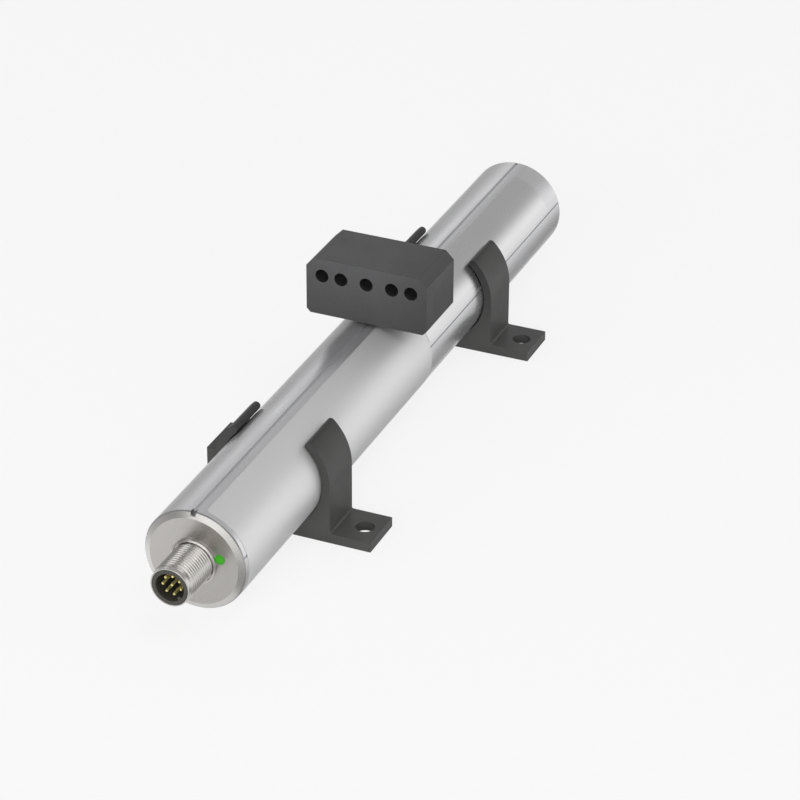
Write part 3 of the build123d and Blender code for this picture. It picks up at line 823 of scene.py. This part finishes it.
def make_tube():
    """The tube with its grooves and chamfered ends."""
    section = tube_section()
    points = []
    outside = [(0, end_chamfer), (end_chamfer, 0), (tube_len - end_chamfer, 0), (tube_len, end_chamfer)]
    for t, inset in outside:
        points += [at(t, tube_r - depth - inset, angle) for angle, depth in section]
    for t in (tube_len, 0):
        points += [at(t, tube_r - tube_wall, angle) for angle, _ in section]
    return piece_of("drawn_tube", points, ring_faces(len(points) // len(section), len(section)), tube_skin)


def capsule(half_run, width):
    """An outline of a slot that is long in its second direction."""
    r = width / 2
    top = arc((0, half_run - r), r, 0, 180, capsule_steps)
    return top + [(-x, -y) for x, y in top]


drawn_tube = make_tube()
notch_floor = tube_r - notch_reach
cut(drawn_tube, raised("notch_tool", capsule(notch_run, notch_w), notch_floor, tube_r + mm, tube_skin))
dress(drawn_tube, "sensor", "tube_aluminium", "housing_tube")

# %% [markdown]
# ## The foil labels
#
# Two pieces of silver foil are wrapped round the right side of the tube. They are bare here. A flat sheet
# could be bent with a modifier, but a grid laid straight on the tube is as short: each station along the
# tube has a row of points from the foil's low edge to its top edge, and the rows pull in at the two ends
# to give round corners.

# %% Foil labels
foil_corner_r = 0.8 * mm
foil_air = 0.02 * mm
foil_thick = 0.1 * mm
foil_across = 72
foil_corner_steps = 8
front_foil_angles = (-40, 79)
rear_foil_angles = (20, 79)


def foil_stations(start, end):
    """Places along a label, closer at its corners, each with how far its edges pull in."""
    stations = []
    for k in range(foil_corner_steps + 1):
        swing = pi / 2 * k / foil_corner_steps
        stations.append((start + foil_corner_r * (1 - cos(swing)), foil_corner_r * (1 - sin(swing))))
    return stations + [(start + end - t, pull) for t, pull in reversed(stations)]


def make_foil(name, node_name, angles, finish):
    """A thin foil round the tube, between two angles, as long as its node."""
    start, end = reach(node_name)
    inner_r = tube_r + foil_air
    outer_r = inner_r + foil_thick
    low, high = (radians(angle) for angle in angles)
    points = []
    for t, pull in foil_stations(start, end):
        inset = pull / tube_r
        row = [low + inset + (high - low - 2 * inset) * k / foil_across for k in range(foil_across + 1)]
        points += [at(t, outer_r, a) for a in row] + [at(t, inner_r, a) for a in reversed(row)]
    columns = 2 * (foil_across + 1)
    rows = len(points) // columns
    faces = ring_faces(rows, columns)[: (rows - 1) * columns]
    for row in (0, rows - 1):
        for k in range(foil_across):
            top = row * columns + k
            under = row * columns + columns - 1 - k
            faces.append((top, top + 1, under - 1, under))
    dress(piece_of(name, points, faces, finish), "sensor", "label_foil", node_name)


make_foil("near_foil", "front_label", front_foil_angles, matt_foil)
make_foil("far_foil", "rear_label", rear_foil_angles, glossy_foil)

# %% [markdown]
# ## The end caps
#
# Each cap is one turned piece: a plug in the tube's bore and a flange with a wide bevel that catches the
# light as a bright ring, which a painted highlight in its colour makes brighter. The profile is spun, the
# near cap's holes and its notch are cut afterwards.

# %% End caps
cap_proud = 0.9 * mm
cap_flange_r = tube_r - 0.25 * mm
cap_rim = 0.15 * mm
cap_plug_r = tube_r - tube_wall - 0.05 * mm
cap_plug_len = 11.0 * mm
cap_edge_r = 0.12 * mm
connector_hole_r = 5.05 * mm
light_x = 7.8 * mm
light_z = 2.4 * mm
light_r = 1.3 * mm
light_hole_r = light_r + 0.03 * mm
lens_r = 1.46 * mm
cut_from = -2 * mm


def make_cap(name, at_far_end):
    """A turned cap for the tube's near end, or turned round for its far end."""
    outline = [(-cap_proud, 0), (-cap_proud, cap_face_r), (-cap_rim, cap_flange_r), (0, cap_flange_r)]
    outline += [(0, cap_plug_r), (cap_plug_len, cap_plug_r), (cap_plug_len, 0)]
    profile = rounded_between(outline, cap_edge_r)
    if at_far_end:
        profile = [(tube_len - t, r) for t, r in profile]
    return turned(name, profile, cap_steel)


def round_tool(name, centre, r, sides):
    """A round cutter through the cap, at a centre of (x, height over the axis)."""
    outline = arc(centre, r, 0, 360 * (sides - 1) / sides, sides - 1)
    return pulled(name, outline, cut_from, cap_plug_len + mm, cap_steel)


near_cap = make_cap("near_cap", False)
cut(near_cap, round_tool("connector_hole", (0, 0), connector_hole_r, sides=128))
cut(near_cap, round_tool("light_hole", (light_x, light_z), light_hole_r, sides=64))
notch_outline = [(x, z + tube_r) for x, z in capsule(notch_reach, notch_w)]
cut(near_cap, pulled("cap_notch", notch_outline, cut_from, 0, cap_steel))
dress(near_cap, "sensor", "turned_steel", "front_end_cap")
dress(make_cap("far_cap", True), "sensor", "turned_steel", "rear_end_cap")

# %% [markdown]
# ## The connector
#
# The connector is a nickel plated shell with an M12 thread. Its smooth parts are turned like the caps. A
# thread isn't a stack of rings but one long groove, and a groove that follows a rule is what Geometry
# Nodes are good at: a flat grid is rolled into a tube, and each point's distance from the axis follows
# from how far it is along the thread and round it. The ends of the grid fold in to the bore and meet
# there, so that the thread is a closed ring.

# %% Connector sizes
tip, shell_end = reach("connector_shell")
neck_len = 1.4 * mm
neck_r = 5.7 * mm
neck_edge_r = 0.15 * mm
mouth_r = 5.28 * mm
mouth_len = 1.2 * mm
thread_r = 6.0 * mm
thread_depth = 0.55 * mm
thread_pitch = 1.0 * mm
thread_run_out = 0.9 * thread_pitch
flank_steepness = 1.35
flank_start = -0.12
thread_bore_r = 4.65 * mm
collar_r = 6.8 * mm
collar_len = 1.0 * mm
collar_lip = 0.6 * mm
collar_recess = 0.7 * mm
collar_bevel = 0.3 * mm
collar_edge_r = 0.08 * mm
stud_r = 5.0 * mm
stud_bore_r = 3.93 * mm
thread_root_r = thread_r - thread_depth
thread_start = tip + neck_len
collar_front = -cap_proud - collar_len
thread_end = collar_front + collar_recess
thread_len = thread_end - thread_start
print(f"thread: {thread_len / mm:.1f} mm long")

# %% [markdown]
# Three short helpers start a geometry tree with its named inputs, close it, and run it on a piece. Every
# tree ends alike: what it made is realized and takes its finish.

# %% Helpers for geometry trees
def start_tree(name, inputs):
    """A geometry tree, and the sockets of its named inputs."""
    tree = bpy.data.node_groups.new(name, "GeometryNodeTree")
    for label, kind in inputs.items():
        tree.interface.new_socket(name=label, in_out="INPUT", socket_type="NodeSocket" + kind)
    tree.interface.new_socket(name="Geometry", in_out="OUTPUT", socket_type="NodeSocketGeometry")
    return tree, node(tree, "NodeGroupInput").outputs


def close_tree(tree, shape, finish):
    """Realize a shape, coat it and hand it out."""
    whole = node(tree, "GeometryNodeRealizeInstances", [shape])
    coated = node(tree, "GeometryNodeSetMaterial", {"Geometry": whole.outputs[0], "Material": finish})
    node(tree, "NodeGroupOutput", [coated.outputs[0]])
    return tree


def run_tree(piece, tree, values):
    """Run a geometry tree on a piece with named values, and bake the result."""
    modifier = piece.modifiers.new(tree.name, "NODES")
    modifier.node_group = tree
    for item in tree.interface.items_tree:
        if item.in_out == "INPUT" and item.name in values:
            modifier[item.identifier] = values[item.name]
    bake(piece)
    bpy.data.node_groups.remove(tree)
    return piece


def grow(name, tree, values):
    """Run a geometry tree on an empty mesh."""
    return run_tree(placed(name, bpy.data.meshes.new(name)), tree, values)


# %% Tree for the thread
thread_fold_rows = 3
half_row = 0.5


def thread_radius(tree, given, along, turn):
    """The radius of a threaded surface at a distance along it and a share of a turn round it."""
    phase = maths(tree, "SUBTRACT", maths(tree, "DIVIDE", along, given["Pitch"]), turn)
    ridge = maths(tree, "PINGPONG", maths(tree, "MULTIPLY", maths(tree, "FRACT", phase), 2.0), 1.0)
    flank = maths(tree, "MULTIPLY_ADD", ridge, flank_steepness, flank_start, clamp=True)
    nearest = maths(tree, "MINIMUM", along, maths(tree, "SUBTRACT", given["Length"], along))
    run_out = maths(tree, "DIVIDE", nearest, given["Run Out"], clamp=True)
    height = maths(tree, "MULTIPLY", flank, run_out)
    return maths(tree, "MULTIPLY_ADD", height, given["Depth"], given["Root Radius"])


def thread_tree():
    """Roll a grid into a threaded ring, whose first row and last two rows lie in the bore."""
    lengths = ["Length", "Pitch", "Root Radius", "Depth", "Bore Radius", "Run Out", "Start", "Axis Height"]
    inputs = {name: "Float" for name in lengths} | {"Rows": "Int", "Columns": "Int", "Finish": "Material"}
    tree, given = start_tree("cut_thread", inputs)
    across = maths(tree, "SUBTRACT", given["Columns"], 1.0)
    down = maths(tree, "SUBTRACT", given["Rows"], 1.0)
    sheet = node(tree, "GeometryNodeMeshGrid", [down, across, given["Rows"], given["Columns"]])
    place = split(tree, node(tree, "GeometryNodeInputPosition").outputs[0])
    row = maths(tree, "ROUND", maths(tree, "MULTIPLY_ADD", down, 0.5, place["X"]))
    turn = maths(tree, "DIVIDE", maths(tree, "MULTIPLY_ADD", across, 0.5, place["Y"]), across)
    last_cut = maths(tree, "SUBTRACT", given["Rows"], thread_fold_rows + 1)
    share = maths(tree, "DIVIDE", maths(tree, "SUBTRACT", row, 1.0), last_cut, clamp=True)
    folds_back = maths(tree, "GREATER_THAN", row, maths(tree, "SUBTRACT", given["Rows"], 1 + half_row))
    share = maths(tree, "MULTIPLY", share, maths(tree, "SUBTRACT", 1.0, folds_back))
    along = maths(tree, "MULTIPLY", share, given["Length"])
    skin_r = thread_radius(tree, given, along, turn)
    first_row = maths(tree, "LESS_THAN", row, half_row)
    end_rows = maths(tree, "GREATER_THAN", row, maths(tree, "SUBTRACT", given["Rows"], 2 + half_row))
    on_bore = maths(tree, "ADD", first_row, end_rows, clamp=True)
    gap = maths(tree, "SUBTRACT", given["Bore Radius"], skin_r)
    radius = maths(tree, "MULTIPLY_ADD", on_bore, gap, skin_r)
    angle = maths(tree, "MULTIPLY", turn, 2 * pi)
    x = maths(tree, "MULTIPLY", radius, maths(tree, "COSINE", angle))
    z = maths(tree, "MULTIPLY_ADD", radius, maths(tree, "SINE", angle), given["Axis Height"])
    y = maths(tree, "ADD", along, given["Start"])
    rolled = node(tree, "ShaderNodeCombineXYZ", [x, y, z]).outputs[0]
    moved = node(tree, "GeometryNodeSetPosition", {"Geometry": sheet.outputs["Mesh"], "Position": rolled})
    welding = {"Geometry": moved.outputs[0], "Distance": 2 * weld}
    welded = node(tree, "GeometryNodeMergeByDistance", welding)
    return close_tree(tree, welded.outputs[0], given["Finish"])


# %% Thread
thread_rows_per_turn = 14
thread_columns = 121
thread_sharp_from = 60
thread_values = {
    "Length": thread_len,
    "Pitch": thread_pitch,
    "Root Radius": thread_root_r,
    "Depth": thread_depth,
    "Bore Radius": thread_bore_r,
    "Run Out": thread_run_out,
    "Start": tube_front + thread_start,
    "Axis Height": axis_z,
    "Rows": int(thread_len / thread_pitch * thread_rows_per_turn) + thread_fold_rows,
    "Columns": thread_columns,
    "Finish": plug_nickel,
}
thread = grow("thread", thread_tree(), thread_values)
tidy(thread.data, thread_sharp_from)
print("thread:", len(thread.data.polygons), "faces")


# %% [markdown]
# The smooth parts of the shell are the neck in front of the thread, and the collar with its stud behind
# it. They are spun as two rings and joined with the thread into one piece, because they are one piece
# of metal.


# %% Connector shell
def join(name, pieces):
    """Make several pieces one."""
    whole = bmesh.new()
    for piece in pieces:
        whole.from_mesh(piece.data)
    data = bpy.data.meshes.new(name)
    whole.to_mesh(data)
    whole.free()
    data.materials.append(pieces[0].data.materials[0])
    for piece in pieces:
        bpy.data.objects.remove(piece)
    return placed(name, data)


neck_outline = [(tip, mouth_r), (tip, neck_r), (thread_start, neck_r), (thread_start, thread_bore_r)]
neck_outline += [(tip + mouth_len, thread_bore_r), (tip + mouth_len, mouth_r)]
collar_outline = [(thread_end, stud_bore_r), (thread_end, collar_r - collar_lip)]
collar_outline += [(collar_front, collar_r - collar_lip), (collar_front + collar_bevel, collar_r)]
collar_outline += [(-cap_proud, collar_r), (-cap_proud, stud_r)]
collar_outline += [(shell_end, stud_r), (shell_end, stud_bore_r)]
neck = turned("neck", rounded(neck_outline, neck_edge_r), plug_nickel)
collar = turned("collar", rounded(collar_outline, collar_edge_r), plug_nickel)
dress(join("threaded_shell", [neck, thread, collar]), "sensor", "connector_nickel", "connector_shell")

# %% [markdown]
# ## The insert and its pins
#
# The insert is a plastic cup in the mouth of the shell, with a key that lets the mating plug in one way
# only. Its eight pins stand on a circle and in the middle. They are all alike, so one pin is turned and
# Geometry Nodes set a copy of it on each point of the pattern.

# %% Insert
insert_lip_r = 5.25 * mm
insert_body_r = 4.62 * mm
insert_tail_r = 3.9 * mm
socket_r = 4.12 * mm
socket_depth = 9.0 * mm
key_w = 1.0 * mm
key_h = 0.7 * mm
key_angle = -46.5
key_start = 0.15 * mm
key_depth = 0.1 * mm
insert_gap = 0.03 * mm
insert_edge_r = 0.12 * mm
insert_sides = 144
insert_end = reach("connector_insert")[1]


def make_insert():
    """The cup with its lip, its body and its tail."""
    outline = [(tip + socket_depth, 0), (tip + socket_depth, socket_r), (tip, socket_r)]
    outline += [(tip, insert_lip_r), (tip + mouth_len, insert_lip_r), (tip + mouth_len, insert_body_r)]
    outline += [(collar_front - insert_gap, insert_body_r), (collar_front - insert_gap, insert_tail_r)]
    outline += [(insert_end, insert_tail_r), (insert_end, 0)]
    return turned("keyed_cup", rounded_between(outline, insert_edge_r), insert_plastic, insert_sides)


def make_key():
    """The rib on the cup's wall, along its whole depth."""
    half = key_w / 2
    low = socket_r - key_h
    high = socket_r + key_depth
    corners = rounded([(low, -half), (low, half), (high, half), (high, -half)], insert_edge_r)
    outline = [tuple(swung(corner, radians(key_angle))) for corner in corners]
    return pulled("key", outline, tip + key_start, tip + socket_depth + key_depth, insert_plastic)


keyed_cup = join("keyed_insert", [make_insert(), make_key()])
dress(keyed_cup, "sensor", "insert_plastic", "connector_insert")


# %% Tree for the pins
def pin_tree():
    """Set a copy of a pin on a ring of points and one in the middle."""
    inputs = {"Pin": "Object", "Ring Count": "Int", "Ring Radius": "Float", "First Angle": "Float"}
    inputs |= {"Spacing": "Float", "Finish": "Material"}
    tree, given = start_tree("set_pins", inputs)
    order = node(tree, "GeometryNodeInputIndex").outputs[0]
    angle = maths(tree, "MULTIPLY_ADD", order, given["Spacing"], given["First Angle"])
    x = maths(tree, "MULTIPLY", given["Ring Radius"], maths(tree, "COSINE", angle))
    z = maths(tree, "MULTIPLY", given["Ring Radius"], maths(tree, "SINE", angle))
    on_ring = node(tree, "ShaderNodeCombineXYZ", [x, 0.0, z]).outputs[0]
    ring = node(tree, "GeometryNodePoints", {"Count": given["Ring Count"], "Position": on_ring})
    middle = node(tree, "GeometryNodePoints", {"Count": 1})
    spots = node(tree, "GeometryNodeJoinGeometry")
    for points in (ring, middle):
        tree.links.new(points.outputs[0], spots.inputs[0])
    pin = node(tree, "GeometryNodeObjectInfo", {"Object": given["Pin"]})
    copying = {"Points": spots.outputs[0], "Instance": pin.outputs["Geometry"]}
    copies = node(tree, "GeometryNodeInstanceOnPoints", copying)
    return close_tree(tree, copies.outputs[0], given["Finish"])


# %% Pins
pin_r = 0.4 * mm
pin_ring_r = 2.7 * mm
pin_count = 7
pin_spacing = radians(49.5)
pin_tip_share = 0.6
pin_tip_steps = 8
pin_sides = 32
pin_start, pin_end = reach("contact_pins")
first_pin = radians(key_angle + 180) - pin_spacing * (pin_count - 1) / 2


def one_pin():
    """A pin on the axis, with a rounded tip."""
    round_r = pin_tip_share * pin_r
    dome = arc((pin_start + round_r, pin_r - round_r), round_r, 180, 90, pin_tip_steps)
    profile = [(pin_start, 0)] + dome + [(pin_end, pin_r), (pin_end, 0)]
    return turned("one_pin", profile, contact_gold, pin_sides)


pin = one_pin()
pin_values = {
    "Pin": pin,
    "Ring Count": pin_count,
    "Ring Radius": pin_ring_r,
    "First Angle": first_pin,
    "Spacing": pin_spacing,
    "Finish": contact_gold,
}
gold_pins = grow("gold_pins", pin_tree(), pin_values)
bpy.data.objects.remove(pin)
dress(gold_pins, "sensor", "pin_gold", "contact_pins")

# %% [markdown]
# ## The status light
#
# A short clear rod brings the light of a lamp on the board to the cap's face. Its rounded lens stands a
# touch proud of the metal and covers the rim of the hole.

# %% Status light
light_front, light_back = reach("light_pipe")
lens_gap = 0.01 * mm
lens_edge_r = 0.13 * mm
lens_edge_steps = 5
light_sides = 64


def make_light():
    """A round rod beside the axis, with a wider lens in front."""
    face = -cap_proud - lens_gap
    edge = arc((light_front + lens_edge_r, lens_r - lens_edge_r), lens_edge_r, 180, 90, lens_edge_steps)
    profile = [(light_front, 0)] + edge + [(face, lens_r), (face, light_r)]
    profile += [(light_back, light_r), (light_back, 0)]
    glow = green_glow((light_x, 0, axis_z + light_z), light_r)
    return turned("status_light", profile, glow, light_sides, (light_x, 0, light_z))


dress(make_light(), "sensor", "light_green", "light_pipe")

# %% [markdown]
# ## Drilled holes
#
# The saddles have a screw hole in each foot, and the block has a row of five holes. A hole could be cut
# one by one. A drill pattern is the workshop's own way: the points of the pattern are a small mesh,
# Geometry Nodes set a drill on each point, and all holes are taken out of the blank at once.


# %% Tree for drilled holes
drill_sides = 64


def drill_tree():
    """Take a drill at each point of a pattern out of a blank."""
    inputs = {"Blank": "Geometry", "Pattern": "Object", "Drill Radius": "Float", "Drill Length": "Float"}
    inputs |= {"Tilt": "Float", "Sides": "Int", "Finish": "Material"}
    tree, given = start_tree("drill_holes", inputs)
    pattern = node(tree, "GeometryNodeObjectInfo", {"Object": given["Pattern"]})
    shape = {"Vertices": given["Sides"], "Radius": given["Drill Radius"], "Depth": given["Drill Length"]}
    drill = node(tree, "GeometryNodeMeshCylinder", shape)
    tilt = node(tree, "ShaderNodeCombineXYZ", [given["Tilt"]])
    turn = node(tree, "FunctionNodeEulerToRotation", [tilt.outputs[0]])
    copies = {"Points": pattern.outputs["Geometry"], "Instance": drill.outputs["Mesh"]}
    drills = node(tree, "GeometryNodeInstanceOnPoints", copies | {"Rotation": turn.outputs[0]})
    tools = node(tree, "GeometryNodeRealizeInstances", [drills.outputs[0]])
    drilled = node(tree, "GeometryNodeMeshBoolean", operation="DIFFERENCE", solver="EXACT")
    tree.links.new(given["Blank"], drilled.inputs["Mesh 1"])
    tree.links.new(tools.outputs[0], drilled.inputs["Mesh 2"])
    return close_tree(tree, drilled.outputs[0], given["Finish"])


def drill(piece, spots, r, length, tilt, finish):
    """Drill a piece at a list of points, along Z or, with a tilt of a quarter turn, along Y."""
    data = bpy.data.meshes.new("pattern")
    data.from_pydata(spots, [], [])
    pattern = placed("pattern", data)
    values = {"Pattern": pattern, "Drill Radius": r, "Drill Length": length}
    values |= {"Tilt": tilt, "Sides": drill_sides, "Finish": finish}
    run_tree(piece, drill_tree(), values)
    bpy.data.objects.remove(pattern)
    tidy(piece.data)
    return piece


# %% [markdown]
# ## The saddles
#
# Each saddle is one moulding: two arms that embrace the tube past its middle, a heel outside the left
# arm, and two feet. It has the same outline all along, so it is an outline of arcs and straight runs,
# pulled to its width, drilled, and broken at its edges.

# %% Saddle outline
saddle_bore_r = tube_r + 0.3 * mm
arm_wall = 2.4 * mm
arm_outer_r = saddle_bore_r + arm_wall
arm_tip_r = arm_wall / 2
arm_tip_angle = 46.0
heel_x = arm_outer_r + 2.1 * mm
heel_top = 4.4 * mm
foot_thick = 3.0 * mm
foot_root_r = 0.5 * mm
screw_x = 25.0 * mm
screw_r = 2.75 * mm
saddle_edge_r = 0.12 * mm
bore_steps = 180
arm_steps = 36
heel_steps = 26
tip_steps = 14
root_steps = 6


def saddle_outline():
    """The saddle seen from the connector: tips, arms, heel and feet."""
    half_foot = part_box("front_bracket")[1].x
    floor = -axis_z
    deck = floor + foot_thick
    tip_ring = saddle_bore_r + arm_tip_r
    tip_x = tip_ring * cos(radians(arm_tip_angle))
    tip_z = tip_ring * sin(radians(arm_tip_angle))
    heel_angle = 180 - asin(heel_top / arm_outer_r) * 180 / pi
    outline = arc((0, 0), saddle_bore_r, 180 - arm_tip_angle, 360 + arm_tip_angle, bore_steps)
    outline += arc((tip_x, tip_z), arm_tip_r, 180 + arm_tip_angle, arm_tip_angle, tip_steps)[1:]
    outline += arc((0, 0), arm_outer_r, arm_tip_angle, 0, arm_steps)[1:]
    outline += arc((arm_outer_r + foot_root_r, deck + foot_root_r), foot_root_r, 180, 270, root_steps)
    outline += [(half_foot, deck), (half_foot, floor), (-half_foot, floor), (-half_foot, deck)]
    outline += arc((-heel_x - foot_root_r, deck + foot_root_r), foot_root_r, 270, 360, root_steps)
    outline += [(-heel_x, heel_top)]
    outline += arc((0, 0), arm_outer_r, heel_angle, 180 - arm_tip_angle, heel_steps)
    outline += arc((-tip_x, tip_z), arm_tip_r, 180 - arm_tip_angle, -arm_tip_angle, tip_steps)[1:-1]
    return outline


# %% Saddles
def make_saddle(name, node_name):
    """A saddle with its screw holes, at its node's place."""
    start, end = reach(node_name)
    saddle = pulled(name, saddle_outline(), start, end, saddle_plastic)
    middle = tube_front + (start + end) / 2
    spots = [(side * screw_x, middle, foot_thick / 2) for side in (-1, 1)]
    drill(saddle, spots, screw_r, length=4 * foot_thick, tilt=0.0, finish=saddle_plastic)
    dress(break_edges(saddle, saddle_edge_r), node_name, "bracket_plastic", node_name)


make_saddle("near_saddle", "front_bracket")
make_saddle("far_saddle", "rear_bracket")

# %% [markdown]
# ## The magnet block
#
# The block is moulded with wide chamfers at its top edges and small ones below. Five holes run through it
# along the tube, for screws that hold it to the moving machine. Its magnets lie in a pocket that opens
# downwards and is closed by a cover, flush with the block.

# %% Magnet block
block_hole_r = 2.05 * mm
block_hole_drop = 5.3 * mm
block_holes_x = [-14 * mm, -8 * mm, 0, 8 * mm, 14 * mm]
block_top_chamfer = 2.6 * mm
block_low_chamfer = 1.2 * mm
block_edge_r = 0.1 * mm
pocket_gap = 0.03 * mm
pocket_over = 0.1 * mm
block_low, block_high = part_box("magnet_housing")
block_start, block_end = reach("magnet_housing")
cover_low, cover_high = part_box("magnet_cover")
cover_start, cover_end = reach("magnet_cover")
magnet_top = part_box("position_magnets")[1].z - axis_z


def block_outline():
    """The block seen from the connector, as (x, height over the axis) points."""
    half = block_high.x
    low = block_low.z - axis_z
    high = block_high.z - axis_z
    right = [(half - block_low_chamfer, low), (half, low + block_low_chamfer)]
    right += [(half, high - block_top_chamfer), (half - block_top_chamfer, high)]
    return right + [(-x, z) for x, z in reversed(right)]


def plate_outline(grow_by):
    """The cover's outline as (x, t) points, grown on all sides."""
    x = cover_high.x + grow_by
    start = cover_start - grow_by
    end = cover_end + grow_by
    return [(-x, start), (x, start), (x, end), (-x, end)]


block = pulled("glide_block", block_outline(), block_start, block_end, glide_plastic)
hole_z = block_high.z - block_hole_drop
block_middle = (block_low.y + block_high.y) / 2
spots = [(x, block_middle, hole_z) for x in block_holes_x]
block_depth = block_end - block_start
drill(block, spots, block_hole_r, length=2 * block_depth, tilt=pi / 2, finish=glide_plastic)
pocket_floor = block_low.z - axis_z - mm
pocket_top = magnet_top + pocket_over
cut(block, raised("pocket", plate_outline(pocket_gap), pocket_floor, pocket_top, glide_plastic))
dress(break_edges(block, block_edge_r), "position_magnet", "block_plastic", "magnet_housing")

# Painted shade in the five holes: a box round them, just inside the block's faces
hole_start = 0.15 * mm
in_holes = (block_high.x - mm, block_depth / 2 - hole_start, 1.02 * block_hole_r)
glide_tree = glide_plastic.node_tree
glide_shader = glide_tree.nodes["Principled BSDF"]
paint_box_shade(glide_tree, glide_shader, (0, block_middle, hole_z), in_holes, painted_hole_shade)

lid_low = cover_low.z - axis_z
lid_high = cover_high.z - axis_z
lid = raised("magnet_lid", plate_outline(0), lid_low, lid_high, glide_plastic)
dress(break_edges(lid, block_edge_r), "position_magnet", "block_plastic", "magnet_cover")

# %% [markdown]
# ## The pieces inside
#
# Seals, boards, the measuring wire and its pickup are hidden in the tube, yet they are part of the model
# and get their own finishes. Their solids are right as they are, so only their material changes. Most
# are variations of one grained finish. The coil has windings, and the boards have a weave.


# %% Finishes of the inner pieces
one_band_each = 0.3183


def grained(name, colour, metal, roughness, size, depth, stretch=(1, 1, 1)):
    """A finish with a grain of a size in millimetres that changes colour, gloss and height."""
    finish, tree, shader = start_finish(name, colour, metal, roughness)
    pattern = grain(tree, size * mm, stretch)
    vary_roughness(tree, shader, pattern, low=roughness * 0.85, high=min(roughness * 1.15, 1))
    vary_colour(tree, shader, pattern, dark=scaled(colour, 0.85), light=scaled(colour, 1.12))
    emboss(tree, shader, pattern, depth=depth * mm, strength=0.5)
    return finish


def banded(name, colour, metal, roughness, pitch, direction):
    """A finish with even bands across an axis, as of windings or woven glass."""
    finish, tree, shader = start_finish(name, colour, metal, roughness)
    place = own_space(tree, (1 / pitch, 1 / pitch, 1 / pitch))
    band = {"Vector": place, "Scale": one_band_each, "Distortion": 0.15}
    wave = node(tree, "ShaderNodeTexWave", band, bands_direction=direction).outputs["Fac"]
    tone = ramp(tree, wave, [(0.0, scaled(colour, 0.6)), (0.6, colour)])
    tree.links.new(tone, shader.inputs["Base Color"])
    emboss(tree, shader, wave, depth=pitch / 3, strength=0.6)
    return finish


def coat(finish, node_names):
    """Give inner solids another finish."""
    for node_name in node_names.split():
        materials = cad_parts[node_name].data.materials
        materials.clear()
        materials.append(finish)
    print(f"{finish.name}: {node_names}")


# %% Coat the inner pieces
# Nodes, name, colour, metal share, roughness, grain and its depth in millimetres, and how it is drawn out
grained_pieces = [
    ("front_cap_seal rear_cap_seal connector_seal", "seal_rubber", grey(0.02), 0, 0.6, 0.3, 0.005),
    ("signal_chips status_led", "chip_black", grey(0.025), 0, 0.55, 0.15, 0.004),
    ("board_capacitors clock_crystal", "can_aluminium", grey(0.75), 1, 0.3, 0.2, 0.002, (1, 1, 20)),
    ("board_header pickup_bobbin", "header_plastic", grey(0.03), 0, 0.5, 0.2, 0.004),
    ("ground_spring", "spring_bronze", (0.72, 0.46, 0.25), 1, 0.3, 0.1, 0.002, (1, 20, 1)),
    ("sensor_carrier rear_bulkhead", "rail_plastic", (0.62, 0.61, 0.57), 0, 0.5, 0.25, 0.006),
    ("waveguide_sheath", "sheath_plastic", (0.75, 0.75, 0.72), 0, 0.4, 0.3, 0.003),
    ("waveguide", "waveguide_alloy", (0.6, 0.58, 0.55), 1, 0.3, 0.05, 0.001, (1, 40, 1)),
    ("end_damper", "silicone_grey", grey(0.28), 0, 0.65, 0.5, 0.01),
    ("bias_magnet position_magnets", "magnet_ferrite", grey(0.05), 0.3, 0.6, 0.1, 0.004),
    ("pickup_shield", "shield_steel", (0.6, 0.6, 0.58), 1, 0.35, 0.15, 0.002, (1, 20, 1)),
    ("end_pad", "pad_foam", grey(0.1), 0, 0.9, 0.4, 0.08),
]
for node_names, *settings in grained_pieces:
    coat(grained(*settings), node_names)
# Name, colour, metal share, roughness, width of a band, and the axis that the bands cross
laminate = banded("board_laminate", (0.02, 0.13, 0.05), 0, 0.4, 0.5 * mm, "DIAGONAL")
copper = banded("wire_copper", (0.78, 0.36, 0.20), 1, 0.3, 0.2 * mm, "Y")
coat(laminate, "connector_board electronics_board")
coat(copper, "return_wire pickup_coil")
coat(cap_steel, "connector_nut waveguide_ferrule waveguide_anchor")
